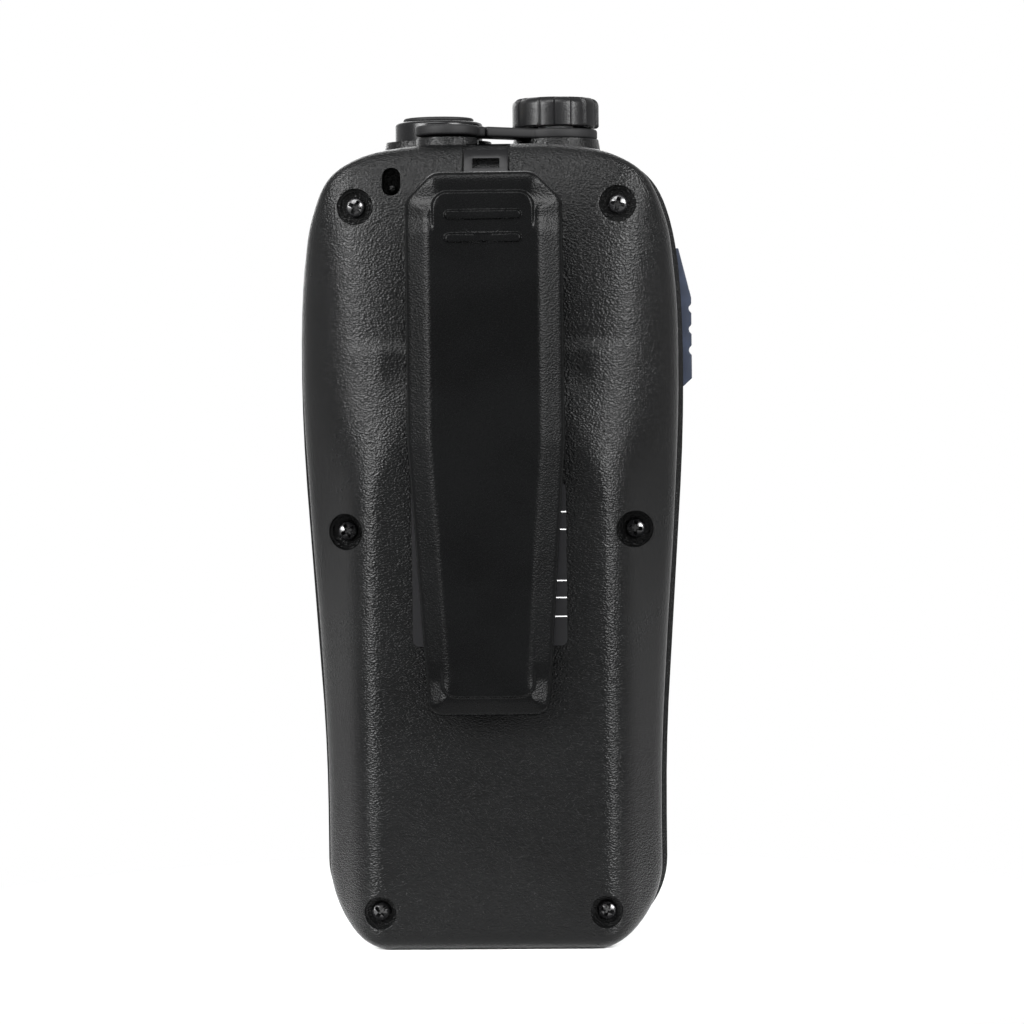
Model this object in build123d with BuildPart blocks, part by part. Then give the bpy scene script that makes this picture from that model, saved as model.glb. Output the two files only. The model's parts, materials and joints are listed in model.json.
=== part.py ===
from build123d import *
import os
from math import atan2, cos, degrees, radians, sin, sqrt

# A handheld marine VHF radio without its antenna, as its separate pieces.
# Millimetres. Z is up, the display and keys face -Y, the belt clip faces +Y.
# The origin is the middle of the flat bottom face, on the parting plane of the two shells.

# ---- Case shells ----
body_height = 133.4
body_half = 32.3            # half width at the widest point
widest_z = 96.0
base_half = 28.75           # half width just above the bottom corners
corner_radius = 13.85       # bottom corners, seen from behind
corner_rise = 13.27
rear_depth = 19.0
front_depth = 17.5
wall = 2.0
rear_step = 0.85            # the rear shell stands this far inside the front shell's edge
edge_chamfer = 0.7
front_round = 5.0
rear_bottom_round = 2.5
dome_start = 100.0          # where the rear face starts to curve over to the top
dome_depth = 9.0
dome_rise = 33.9
rim_width = 3.2
rim_depth = 2.6
side_shape = [(0.03, 0.2), (0.35, 0.46), (0.73, 0.7)]   # shares of the swell and of the rise to it
shoulder = [(0.5, 22.1), (2.1, 12.0), (5.4, 5.3), (11.0, 1.85), (17.2, 0.5)]    # in from the side, and down

lower_flat, lower_lift, lower_crease, lower_flank = 17.4, 6.0, 21.1, 29.8
upper_flat, upper_lift, upper_crease, upper_flank = 7.5, 2.3, 18.0, 34.0
crease_low, crease_high = 74.0, 98.0    # where the flat of the back narrows
flank_low = 40.0
flank_end = 4.0
level_step, level_count = 8.0, 8        # heights at which the section is drawn while it changes
upper_levels = [108.0, 122.0]
crease_inset, flank_inset = 0.6, 0.3    # how much of the wall the hollow's curve gives way there

# ---- Case seal ----
seal_inset = 1.35
seal_width = 0.8
seal_height = 1.2

# ---- Case screws ----
screw_shank = 2.0
screw_head = 3.3
screw_head_height = 1.4
screw_grip = 7.0            # thread length in the front shell
screw_gap = 0.1             # clearance on the radius, for shank and head
boss_radius = 4.2
upper_screw_x, upper_screw_z, upper_seat = 21.7, 123.0, 13.2
middle_screw_x, middle_screw_z, middle_seat = 24.0, 69.3, 8.8
lower_screw_x, lower_screw_z, lower_seat = 18.7, 6.4, 15.8
upper_bore, lower_bore = 6.1, 5.4
recess_slot, recess_depth = 0.5, 0.5     # cross recess in the screw heads

# ---- Board and frame ----
board_front = -9.6
board_thick = 1.2
board_half = 23.4
board_bottom, board_top = 12.5, 116.0
board_corner = 3.0
frame_front = -2.5
frame_thick = 1.5
frame_margin = 1.2
stand_radius = 2.4
frame_screw_x = 20.8
frame_screw_low, frame_screw_high = 17.5, 83.6
frame_shank, frame_head, frame_head_height = 2.0, 3.6, 1.3
frame_screw_grip = 4.0
part_gap = 0.3              # clearance between pieces that do not touch
slide_gap = 0.15            # clearance around a key or a plunger
bore_gap = 0.05             # clearance on the radius of a pin, a bush or a plug
lap = 1.0                   # how far a cut runs past a face, and a growth into one
small_corner, soft_corner = 1.0, 2.0    # corners of moulded inner pieces and of pads

shield_width, shield_height, shield_depth, shield_wall, shield_z = 34.0, 26.0, 4.0, 0.4, 100.0
chip_size, chip_height, chip_pitch, chips_z = 6.0, 1.2, 10.0, 34.0

# ---- Battery ----
cell_width, cell_height, cell_thick = 17.8, 66.0, 14.4
cell_round = 5.0
battery_z = 50.0
tray_thick = 1.0
tray_rim = 4.0
tray_wall = 0.8
pad_width, pad_height = 30.0, 60.0
connector_width, connector_height, connector_depth = 9.0, 4.5, 3.5
contact_x, contact_y = 6.0, 8.0
contact_radius = 1.2
contact_flange, contact_flange_thick = 2.0, 0.8
contact_length = 4.6
contact_recess = 0.3
block_width, block_depth, block_height = 20.0, 7.0, 1.8

# ---- Display ----
display_z = 99.5
lens_width, lens_height, lens_thick = 43.0, 27.0, 1.2
lens_corner = 3.0
view_width, view_height = 36.0, 20.5
lcd_width, lcd_height, lcd_thick = 38.4, 23.0, 1.9
lcd_holder = 1.4
lens_gap = 0.1
lcd_gap = 0.4

# ---- Keypad ----
key_width, key_height, key_corner = 9.6, 6.4, 2.2
key_pitch_x, key_pitch_z = 11.8, 9.4
keypad_z = 65.5
key_proud = 1.0
key_travel = 0.4
key_flange, key_flange_thick = 0.7, 0.45
stem_radius = 1.6
mat_margin, mat_wall, mat_thick = 2.6, 1.2, 1.1
dome_radius, dome_height = 2.6, 0.3

# ---- Push-to-talk button ----
ptt_z, ptt_height = 104.5, 23.4
ptt_y, ptt_width = -7.0, 9.4
ptt_out = 1.5               # how far it stands out of the front shell's side
ptt_travel = 0.8
pocket_depth = 3.0
pocket_back = 2.0
pad_margin = 2.5            # how far the pocket's inner pad reaches past the pocket
plunger_height, plunger_width = 9.0, 3.6
plunger_flange = 0.7
ptt_sink = 0.6              # the button's upper end lies this far inside the side wall
ptt_ramp, ptt_heel = 6.6, 1.4
notch_count, notch_pitch, notch_depth, notch_radius = 4, 3.55, 0.45, 0.9
plunger_flange_thick, plunger_flange_gap, plunger_reach = 0.8, 0.2, 1.4
switch_width, switch_height, switch_depth = 4.6, 7.0, 3.6

# ---- Speaker and microphone ----
speaker_z = 29.0
speaker_radius = 15.5
speaker_depth = 5.4
magnet_radius, magnet_depth = 8.0, 2.4
basket_wall = 0.8
membrane_thick = 0.3
cone_thick, cone_gap = 0.3, 0.5
slot_count, slot_pitch, slot_height, slot_width = 6, 4.2, 1.8, 24.0
microphone_x, microphone_z = 17.0, 45.0
capsule_radius, capsule_thick = 3.0, 2.4
boot_wall = 0.9
sound_hole = 0.7

# ---- Antenna port ----
antenna_x, antenna_y = 9.0, -8.2
collar_radius, collar_wall, collar_round = 7.5, 1.4, 0.6
collar_top = 138.3
collar_seat = 131.6
barrel_radius = 4.5
barrel_bottom = 122.0
ring_radius, ring_height = 6.0, 0.75
thread_radius, thread_depth = 3.175, 7.5
insulator_radius, insulator_length = 2.4, 8.0
contact_pin_radius, contact_tail = 0.65, 2.0
nut_radius, nut_height = 6.4, 2.2
port_floor = 3.4            # thickness of the shell between the collar and its nut
plinth_width, plinth_deep, plinth_corner = 19.2, 16.2, 7.4
plinth_bottom, plinth_top, plinth_draft = 131.6, 134.9, 0.6

# ---- Volume control ----
knob_x, knob_y = -11.0, -8.5
knob_radius, knob_bottom, knob_top = 7.4, 137.1, 142.15
knob_shoulder = 1.3
flute_count, flute_radius, flute_depth = 8, 2.9, 0.6
knob_cavity, knob_cavity_height = 6.2, 1.2
shaft_radius, shaft_top, shaft_foot, shaft_cut = 3.0, 140.6, 3.0, 1.2
flute_turn = 34.0
bush_radius = 3.5
control_radius, control_height = 5.5, 5.6
gasket_thick = 0.8
control_seat = 129.4
neck_radius = 5.8
neck_top = 136.7
pedestal_radius, pedestal_flare = 7.3, 0.6
nut_pocket, nut_seat = 4.9, 134.4
control_nut_radius, control_nut_height = 4.7, 1.4

# ---- Accessory jack, dust cap and strap ----
jack_x, jack_y = 6.8, 5.5
jack_boss_radius, jack_boss_top, jack_boss_length = 5.2, 134.8, 12.7
jack_radius = 4.0
jack_bottom = 118.5
jack_bore, jack_bore_depth = 1.8, 14.0
jack_recess, jack_recess_depth = 4.2, 1.4
strap_bottom, strap_top = 135.1, 136.8
strap_ring = 7.1
strap_width = 5.6
cap_radius = 5.3
cap_plug, cap_plug_depth = 3.5, 1.3
hinge_reach = 6.3           # from the jack's axis to the strap's fold
hinge_gap = 0.3

# ---- Belt clip ----
clip_channel_half, clip_channel_depth = 17.2, 0.8
clip_channel_bottom = 92.5
clip_outer = 28.6
clip_top, clip_bottom = 127.85, 39.5
clip_top_half, clip_bottom_half = 12.8, 10.3
clip_taper_z = 84.0
clip_bevel, clip_bevel_drop = 3.5, 2.6
clip_edge = 1.2
clip_thick, clip_side = 2.2, 1.6
clip_corner = 4.6
clip_foot = 2.5             # cut corners at the lower end
ridge_width, ridge_height, ridge_proud = 12.6, 1.7, 0.5
ridge_corner = 0.8
ridge_low, ridge_high = 10.75, 7.0     # below the clip's top
pin_z, pin_y, pin_radius = 113.0, 23.2, 1.1
lug_radius, lug_thick = 2.5, 1.8
ear_thick, ear_half = 1.5, 8.4
ear_gap = 0.25
toe_half, toe_height, toe_gap = 5.3, 3.6, 0.35
bracket_half, bracket_thick = 8.4, 1.6
bracket_bottom, bracket_top = 98.5, 118.5
tab_half, tab_depth, tab_gap = 3.65, 1.5, 0.3
tab_bottom, tab_front = 111.0, 12.7
window_half, window_height, window_z = 2.2, 1.65, 130.0
bracket_screw_z = 103.0
bracket_screw_x = 4.6
bracket_shank, bracket_head, bracket_head_height, bracket_screw_length = 1.0, 1.9, 1.0, 5.0
bracket_boss = 2.6
spring_radius, spring_wire, spring_half = 2.3, 0.7, 5.2

# ---- Rating label and lanyard eye ----
label_half, label_height, label_z, label_thick, label_corner = 12.7, 26.8, 63.8, 0.15, 1.0
eye_x, eye_z, eye_width, eye_height = 15.3, 127.1, 3.1, 4.7
eye_floor, eye_corner, eye_wall = 9.6, 1.4, 1.8
eye_bar_radius, eye_bar_y, eye_bar_root = 0.8, 12.4, 0.4

# ---- Sizes worked out from the above ----
rear_levels = [-lap, flank_low / 2]
rear_levels += [flank_low + level_step * i for i in range(level_count)]
rear_levels += upper_levels + [body_height + lap]
channel_floor = rear_depth - clip_channel_depth
bracket_back = channel_floor + bracket_thick
bracket_screws_at = [(-bracket_screw_x, bracket_screw_z), (bracket_screw_x, bracket_screw_z)]
inner_front = wall - front_depth            # inner face of the front wall
inner_rear = rear_depth - wall              # inner face of the rear wall
board_back = board_front + board_thick
frame_back = frame_front + frame_thick
case_screws_at = [
    (side * x, z, seat, bore)
    for x, z, seat, bore in (
        (upper_screw_x, upper_screw_z, upper_seat, upper_bore),
        (middle_screw_x, middle_screw_z, middle_seat, upper_bore),
        (lower_screw_x, lower_screw_z, lower_seat, lower_bore),
    )
    for side in (-1, 1)
]
microphone_at = [(microphone_x, microphone_z)]
middle_points = [(-middle_screw_x, middle_screw_z), (middle_screw_x, middle_screw_z)]
frame_points = [
    (side * frame_screw_x, z) for z in (frame_screw_low, frame_screw_high) for side in (-1, 1)
]
key_names = [
    ["scan", "up", "weather"],
    ["menu", "sixteen", "level"],
    ["light", "down", "power"],
]
key_places = {
    name: ((column - 1) * key_pitch_x, keypad_z + (1 - row) * key_pitch_z)
    for row, names in enumerate(key_names)
    for column, name in enumerate(names)
}


def at_y(depth):
    """Sketch plane across the radio at one depth; extrusions from it run forward, to -Y."""
    return Plane.XZ.offset(-depth)


def slab(width, height, back, front, x=0.0, z=0.0, corner=0.0, mode=Mode.ADD):
    """Add or cut a flat rounded block between two depths in the current part."""
    with BuildSketch(at_y(back)) as shape:
        with Locations((x, z)):
            if corner:
                RectangleRounded(width, height, corner)
            else:
                Rectangle(width, height)
    extrude(shape.sketch, amount=back - front, mode=mode)


def rods(points, radius, back, front, mode=Mode.ADD):
    """Add or cut round rods along Y at several places in the current part."""
    with BuildSketch(at_y(back)) as shape:
        with Locations(*points):
            Circle(radius)
    extrude(shape.sketch, amount=back - front, mode=mode)


def post(x, y, radius, bottom, top, mode=Mode.ADD):
    """Add or cut an upright cylinder in the current part."""
    with BuildSketch(Plane.XY.offset(bottom)) as shape:
        with Locations((x, y)):
            Circle(radius)
    extrude(shape.sketch, amount=top - bottom, mode=mode)


def bar(y, z, radius, left, right, mode=Mode.ADD):
    """Add or cut a round bar along X in the current part."""
    with BuildSketch(Plane.YZ.offset(left)) as shape:
        with Locations((y, z)):
            Circle(radius)
    extrude(shape.sketch, amount=right - left, mode=mode)


def write(name, part):
    """Label a finished piece and write it as its own file."""
    part.label = name
    export_step(part, f"parts/{name}.step")


def inset_spline(points, inset, tangents):
    """Smooth curve through points that are first moved inwards, square to the curve."""
    curve = Spline(*points, tangents=tangents, mode=Mode.PRIVATE)
    moved = []
    for point in points:
        along = curve.tangent_at(curve.param_at_point(point))
        moved.append(Vector(*point) + Vector(-along.Y, along.X) * inset)
    return Spline(*moved, tangents=tangents)


def case_outline(inset=0.0, step=0.0):
    """Outline of the shells seen from behind; step moves only the sides inwards."""
    rise = widest_z - corner_rise
    swell = body_half - base_half
    base, widest = base_half - step, body_half - step
    radius = corner_radius - inset
    foot = base - corner_radius + sqrt(radius**2 - (corner_rise - inset) ** 2)
    with BuildSketch(Plane.XZ) as outline:
        with BuildLine():
            Line((0, inset), (foot, inset))
            RadiusArc((foot, inset), (base - inset, corner_rise), -radius)
            inset_spline(
                [(base, corner_rise)]
                + [(base + a * swell, corner_rise + b * rise) for a, b in side_shape]
                + [(widest, widest_z)],
                inset,
                [(0, 1), (0, 1)],
            )
            inset_spline(
                [(widest, widest_z)]
                + [(widest - across, body_height - down) for across, down in shoulder]
                + [(0, body_height)],
                inset,
                [(0, 1), (-1, 0)],
            )
            mirror(about=Plane.YZ)
        make_face()
    return outline.sketch


def eased(start, end, z, low, high):
    """Value that eases from start to end as z goes from low to high."""
    share = min(max((z - low) / (high - low), 0), 1)
    return start + (end - start) * share * share * (3 - 2 * share)


def rear_section(z):
    """Half section of the rear shell at one height: the flat, its rise, the crease, the flank."""
    flat = eased(lower_flat, upper_flat, z, crease_low, crease_high)
    lift = eased(lower_lift, upper_lift, z, crease_low, crease_high)
    crease = eased(lower_crease, upper_crease, z, crease_low, crease_high)
    flank_x = eased(lower_flank, upper_flank, z, flank_low, crease_high)
    return flat, lift, crease, flank_x


def rear_form(inset=0.0):
    """Solid form of the rear shell, or of its hollow when inset by the wall."""
    depth = rear_depth - inset
    with BuildPart() as form:
        with BuildSketch(Plane.XZ):
            add(case_outline(inset, rear_step))
        extrude(amount=-2 * rear_depth)
        with BuildSketch(Plane.YZ):
            with BuildLine():
                bottom = Line((-lap, inset), (depth - rear_bottom_round, inset))
                corner = TangentArc(
                    bottom @ 1, (depth, inset + rear_bottom_round), tangent=(1, 0)
                )
                back = Line(corner @ 1, (depth, dome_start))
                dome = EllipticalCenterArc(
                    (rear_depth - dome_depth, dome_start),
                    dome_depth - inset,
                    dome_rise - inset,
                    start_angle=0,
                    arc_size=90,
                )
                top = Line(dome @ 1, (-lap, (dome @ 1).Y))
                Line(top @ 1, bottom @ 0)
            make_face()
        extrude(amount=2 * body_half, both=True, mode=Mode.INTERSECT)
        for z in rear_levels:
            flat, lift, crease, flank_x = rear_section(z)
            with BuildSketch(Plane.XY.offset(z)):
                with BuildLine():
                    level = Line((0, depth + lift), (flat, depth + lift))
                    flank = ThreePointArc(
                        level @ 1,
                        (crease - crease_inset * inset, rear_depth - crease_inset * inset),
                        (flank_x - inset, flank_end - flank_inset * inset),
                    )
                    side = Line(flank @ 1, ((flank @ 1).X, -lap))
                    Line(side @ 1, (0, -lap))
                    mirror(about=Plane.YZ)
                make_face()
        loft(mode=Mode.INTERSECT)
    return form.part


def front_form(inset=0.0):
    """Solid form of the front shell, or of its hollow when inset by the wall."""
    edge = 0 if inset else edge_chamfer
    with BuildPart() as form:
        with BuildSketch(at_y(-edge)) as outline:
            add(case_outline(inset))
        extrude(amount=front_depth - inset - edge)
        fillet(form.faces().sort_by(Axis.Y)[0].edges(), front_round - inset / 2)
        if edge:
            with BuildSketch(at_y(0)) as rim:
                add(case_outline(edge))
            loft([outline.sketch, rim.sketch], ruled=True)
    return form.part


def within(form, *growths):
    """The stretches of some solids that lie inside a form."""
    return [form & solid for growth in growths for solid in growth.part.solids()]


def mated_ring(outer, inner, back, front):
    """Closed ring between two outlines and between two depths."""
    with BuildPart() as ring:
        with BuildSketch(at_y(back)):
            add(outer)
            add(inner, mode=Mode.SUBTRACT)
        extrude(amount=back - front)
    return ring.part


os.makedirs("parts", exist_ok=True)

# ---- Shared forms ----
pocket_floor = -(body_half - pocket_depth)
pad_inner = pocket_floor + pocket_back
antenna_nut_seat = collar_seat - port_floor
frame_screw_tip = board_front - frame_screw_grip
rear_outer, rear_inner = rear_form(), rear_form(wall)
front_outer, front_inner = front_form(), front_form(wall)
rim_hollow = case_outline(rim_width)
seal_ring = mated_ring(
    case_outline(seal_inset), case_outline(seal_inset + seal_width), seal_height / 2, -seal_height / 2
)

# ---- Rear shell: bosses and seats that grow from its inside ----
with BuildPart() as rear_bosses:
    for x, z, seat, bore in case_screws_at:
        rods([(x, z)], boss_radius, rear_depth, 0)
with BuildPart() as bracket_bosses:
    rods(bracket_screws_at, bracket_boss, rear_depth, inner_rear - bracket_screw_length)
with BuildPart() as tab_seat:
    slab(
        2 * (tab_half + wall), body_height - tab_bottom + 2 * wall, rear_depth, tab_front - wall,
        0, (body_height + tab_bottom) / 2,
    )
with BuildPart() as eye_seat:
    slab(
        eye_width + 2 * eye_wall, eye_height + 2 * eye_wall, rear_depth, eye_floor - eye_wall,
        eye_x, eye_z,
    )
rear_growths = within(rear_outer, rear_bosses, bracket_bosses, tab_seat, eye_seat)
rear_rim = mated_ring(case_outline(0, rear_step), rim_hollow, rim_depth, 0)

with BuildPart() as tab_slot:
    slab(
        2 * (tab_half + tab_gap),
        body_height - tab_bottom + 2 * tab_gap,
        rear_depth + lap,
        tab_front - tab_gap,
        0,
        (body_height + tab_bottom) / 2,
    )
    add(rear_form(tab_depth + bore_gap), mode=Mode.SUBTRACT)

with BuildPart() as rear_case:
    add(rear_outer)
    add(rear_inner, mode=Mode.SUBTRACT)
    for growth in rear_growths:
        add(growth)
    add(rear_rim)
    post(jack_x, jack_y, jack_boss_radius, jack_boss_top - jack_boss_length, jack_boss_top)
    add(seal_ring, mode=Mode.SUBTRACT)
    add(tab_slot.part, mode=Mode.SUBTRACT)
    # clip channel, sunk into the upper back
    slab(
        2 * clip_channel_half,
        body_height - clip_channel_bottom,
        rear_depth + lap,
        channel_floor,
        0,
        (body_height + clip_channel_bottom) / 2,
        mode=Mode.SUBTRACT,
    )
    # case screws
    for x, z, seat, bore in case_screws_at:
        rods([(x, z)], bore / 2, rear_depth + lap, seat, mode=Mode.SUBTRACT)
        rods([(x, z)], screw_shank / 2 + screw_gap, seat, 0, mode=Mode.SUBTRACT)
    # accessory jack
    post(jack_x, jack_y, jack_radius + bore_gap, jack_bottom, body_height, mode=Mode.SUBTRACT)
    post(
        jack_x, jack_y, jack_recess, jack_boss_top - jack_recess_depth, jack_boss_top + lap,
        mode=Mode.SUBTRACT,
    )
    # bracket screws, blind from behind
    rods(
        bracket_screws_at,
        bracket_shank + bore_gap,
        rear_depth,
        rear_depth - bracket_screw_length,
        mode=Mode.SUBTRACT,
    )
    # lanyard eye with its bar
    with BuildSketch(at_y(rear_depth + lap)) as eye:
        with Locations((eye_x, eye_z)):
            RectangleRounded(eye_width, eye_height, eye_corner)
    extrude(eye.sketch, amount=rear_depth + lap - eye_floor, mode=Mode.SUBTRACT)
    eye_bar_half = eye_width / 2 + eye_bar_root
    bar(eye_bar_y, eye_z, eye_bar_radius, eye_x - eye_bar_half, eye_x + eye_bar_half)
    # charging contacts
    for side in (-1, 1):
        post(side * contact_x, contact_y, contact_radius + bore_gap, 0, wall, mode=Mode.SUBTRACT)
write("rear_case", rear_case.part)

# ---- Front shell ----
with BuildPart() as front_bosses:
    for x, z, seat, bore in case_screws_at:
        rods([(x, z)], boss_radius, 0, -front_depth)
        if z < wall + 2 * boss_radius:
            # the lowest bosses stand on the shell's floor
            slab(2 * boss_radius, z, 0, -front_depth, x, z / 2)
    rods(frame_points, stand_radius, board_front, -front_depth)
with BuildPart() as antenna_seat:
    post(antenna_x, antenna_y, collar_radius + collar_wall, antenna_nut_seat, body_height)
with BuildPart() as control_block:
    post(knob_x, knob_y, control_radius + collar_wall, control_seat, body_height)
with BuildPart() as side_pad:
    slab(
        pocket_back + pocket_depth + wall,
        ptt_height + 2 * pad_margin,
        ptt_y + ptt_width / 2 + pad_margin / 2,
        inner_front - wall / 2,
        pad_inner - (pocket_back + pocket_depth + wall) / 2,
        ptt_z,
    )
front_growths = within(front_outer, front_bosses, antenna_seat, control_block, side_pad)
front_rim = mated_ring(case_outline(edge_chamfer), rim_hollow, 0, -rim_depth)

with BuildPart() as front_case:
    add(front_outer)
    add(front_inner, mode=Mode.SUBTRACT)
    for growth in front_growths:
        add(growth)
    add(front_rim)
    # pedestal and neck under the volume knob
    with BuildSketch(Plane.XY.offset(body_height - wall)) as foot:
        with Locations((knob_x, knob_y)):
            Circle(pedestal_radius + pedestal_flare)
    with BuildSketch(Plane.XY.offset(strap_bottom)) as head:
        with Locations((knob_x, knob_y)):
            Circle(pedestal_radius)
    loft([foot.sketch, head.sketch])
    post(knob_x, knob_y, neck_radius, strap_bottom, neck_top)
    # plinth around the antenna port
    with BuildSketch(Plane.XY.offset(plinth_bottom)) as plinth_foot:
        with Locations((antenna_x, antenna_y)):
            RectangleRounded(plinth_width, plinth_deep, plinth_corner)
    with BuildSketch(Plane.XY.offset(plinth_top)) as plinth_head:
        with Locations((antenna_x, antenna_y)):
            RectangleRounded(
                plinth_width - 2 * plinth_draft, plinth_deep - 2 * plinth_draft,
                plinth_corner - plinth_draft,
            )
    loft([plinth_foot.sketch, plinth_head.sketch])
    add(seal_ring, mode=Mode.SUBTRACT)
    # case screws
    for x, z, seat, bore in case_screws_at:
        rods([(x, z)], screw_shank / 2 + bore_gap, 0, -screw_grip, mode=Mode.SUBTRACT)
    # frame screws
    rods(frame_points, frame_shank / 2 + bore_gap, board_front, frame_screw_tip, mode=Mode.SUBTRACT)
    # display window
    slab(
        lens_width + 2 * lens_gap,
        lens_height + 2 * lens_gap,
        lens_thick - front_depth,
        -front_depth - lap,
        0,
        display_z,
        lens_corner,
        mode=Mode.SUBTRACT,
    )
    slab(
        view_width, view_height, inner_front + lap, -front_depth, 0, display_z, small_corner,
        mode=Mode.SUBTRACT,
    )
    # key apertures
    for x, z in key_places.values():
        slab(
            key_width + 2 * slide_gap,
            key_height + 2 * slide_gap,
            inner_front + lap,
            -front_depth - lap,
            x,
            z,
            key_corner,
            mode=Mode.SUBTRACT,
        )
    # speaker slots and microphone hole
    with BuildSketch(at_y(inner_front + lap)) as slots:
        with Locations((0, speaker_z)):
            with GridLocations(1, slot_pitch, 1, slot_count):
                SlotOverall(slot_width, slot_height)
    extrude(slots.sketch, amount=wall + 2 * lap, mode=Mode.SUBTRACT)
    rods(microphone_at, sound_hole, inner_front + lap, -front_depth - lap, mode=Mode.SUBTRACT)
    # push-to-talk pocket and the opening for its plunger
    slab(
        pocket_depth + lap,
        ptt_height + 2 * slide_gap,
        ptt_y + ptt_width / 2 + slide_gap,
        ptt_y - ptt_width / 2 - slide_gap,
        pocket_floor - (pocket_depth + lap) / 2,
        ptt_z,
        mode=Mode.SUBTRACT,
    )
    slab(
        pocket_back + 2 * lap,
        plunger_height + 2 * slide_gap,
        ptt_y + plunger_width / 2 + slide_gap,
        ptt_y - plunger_width / 2 - slide_gap,
        pocket_floor + pocket_back / 2,
        ptt_z,
        mode=Mode.SUBTRACT,
    )
    # antenna port
    post(antenna_x, antenna_y, collar_radius + bore_gap, collar_seat, plinth_top + lap, mode=Mode.SUBTRACT)
    post(antenna_x, antenna_y, barrel_radius + bore_gap, antenna_nut_seat, collar_seat, mode=Mode.SUBTRACT)
    # volume control bush and nut pocket
    post(knob_x, knob_y, bush_radius + bore_gap, control_seat, nut_seat, mode=Mode.SUBTRACT)
    post(knob_x, knob_y, nut_pocket, nut_seat, neck_top, mode=Mode.SUBTRACT)
write("front_case", front_case.part)

# ---- Seal and case screws ----
write("case_seal", seal_ring)


def screws(points, shank, head, head_height, length):
    """Pan head screws along Y; each point is x, z and the depth of its seat."""
    with BuildPart() as group:
        for x, z, seat in points:
            rods([(x, z)], shank / 2, seat, seat - length)
            rods([(x, z)], head / 2, seat + head_height, seat)
            for width, height in ((head / 2, recess_slot), (recess_slot, head / 2)):
                slab(
                    width, height, seat + head_height, seat + head_height - recess_depth,
                    x, z, mode=Mode.SUBTRACT,
                )
    return group.part


with BuildPart() as case_screws:
    for x, z, seat, bore in case_screws_at:
        add(screws([(x, z, seat)], screw_shank, screw_head, screw_head_height, seat + screw_grip))
write("case_screws", case_screws.part)

# ---- Frame, board and what they carry ----
with BuildPart() as main_board:
    slab(
        2 * board_half, board_top - board_bottom, board_back, board_front,
        0, (board_top + board_bottom) / 2, board_corner,
    )
    rods(middle_points, boss_radius + part_gap, board_back, board_front, mode=Mode.SUBTRACT)
    rods(frame_points, frame_shank / 2 + screw_gap, board_back, board_front, mode=Mode.SUBTRACT)
write("main_board", main_board.part)

with BuildPart() as chassis_frame:
    slab(
        2 * (board_half - frame_margin),
        board_top - board_bottom - 2 * frame_margin,
        frame_back,
        frame_front,
        0,
        (board_top + board_bottom) / 2,
        board_corner,
    )
    rods(frame_points, stand_radius, frame_front, board_back)
    rods(middle_points, boss_radius + part_gap, frame_back, frame_front, mode=Mode.SUBTRACT)
    rods(frame_points, frame_shank / 2 + screw_gap, frame_back, board_back, mode=Mode.SUBTRACT)
write("chassis_frame", chassis_frame.part)

frame_screw_length = frame_back - frame_screw_tip
write(
    "frame_screws",
    screws(
        [(x, z, frame_back) for x, z in frame_points],
        frame_shank, frame_head, frame_head_height, frame_screw_length - bore_gap,
    ),
)

with BuildPart() as rf_shield:
    slab(shield_width, shield_height, board_back + shield_depth, board_back, 0, shield_z, small_corner)
    slab(
        shield_width - 2 * shield_wall, shield_height - 2 * shield_wall,
        board_back + shield_depth - shield_wall, board_back, 0, shield_z, mode=Mode.SUBTRACT,
    )
write("rf_shield", rf_shield.part)

with BuildPart() as board_parts:
    with BuildSketch(at_y(board_back + chip_height)) as chips:
        with Locations((0, chips_z)):
            with GridLocations(chip_pitch, chip_pitch, 3, 2):
                Rectangle(chip_size, chip_size)
    extrude(chips.sketch, amount=chip_height)
write("board_parts", board_parts.part)

with BuildPart() as dome_switches:
    rods(list(key_places.values()), dome_radius, board_front, board_front - dome_height)
write("dome_switches", dome_switches.part)

# ---- Battery ----
pack_width = 2 * cell_width + part_gap
tray_back = frame_back + tray_thick
with BuildPart() as battery_tray:
    slab(
        pack_width + 2 * tray_wall, cell_height + 2 * tray_wall,
        tray_back + tray_rim, frame_back, 0, battery_z, small_corner,
    )
    slab(pack_width, cell_height, tray_back + tray_rim, tray_back, 0, battery_z, mode=Mode.SUBTRACT)
write("battery_tray", battery_tray.part)

cell_back = tray_back + cell_thick
with BuildPart() as battery_cells:
    with BuildSketch(Plane.XY.offset(battery_z - cell_height / 2)) as cell_section:
        with Locations((0, (tray_back + cell_back) / 2)):
            with GridLocations(cell_width + part_gap, 1, 2, 1):
                RectangleRounded(cell_width, cell_thick, cell_round)
    extrude(cell_section.sketch, amount=cell_height)
write("battery_cells", battery_cells.part)

with BuildPart() as battery_pad:
    slab(pad_width, pad_height, inner_rear, cell_back, 0, battery_z, soft_corner)
write("battery_pad", battery_pad.part)

connector_z = battery_z + cell_height / 2 + tray_wall + connector_height / 2
with BuildPart() as battery_connector:
    slab(
        connector_width, connector_height, frame_back + connector_depth, frame_back,
        0, connector_z + part_gap,
    )
write("battery_connector", battery_connector.part)

with BuildPart() as charge_contacts:
    for side in (-1, 1):
        post(side * contact_x, contact_y, contact_radius, contact_recess, wall + contact_length)
        post(side * contact_x, contact_y, contact_flange, wall, wall + contact_flange_thick)
write("charge_contacts", charge_contacts.part)

with BuildPart() as charge_block:
    with BuildSketch(Plane.XY.offset(wall + contact_flange_thick)) as block:
        with Locations((0, contact_y)):
            RectangleRounded(block_width, block_depth, small_corner)
        with Locations((-contact_x, contact_y), (contact_x, contact_y)):
            Circle(contact_radius + bore_gap, mode=Mode.SUBTRACT)
    extrude(block.sketch, amount=block_height)
write("charge_block", charge_block.part)

# ---- Display ----
with BuildPart() as display_lens:
    slab(
        lens_width, lens_height, lens_thick - front_depth, -front_depth, 0, display_z, lens_corner,
    )
write("display_lens", display_lens.part)

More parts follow.
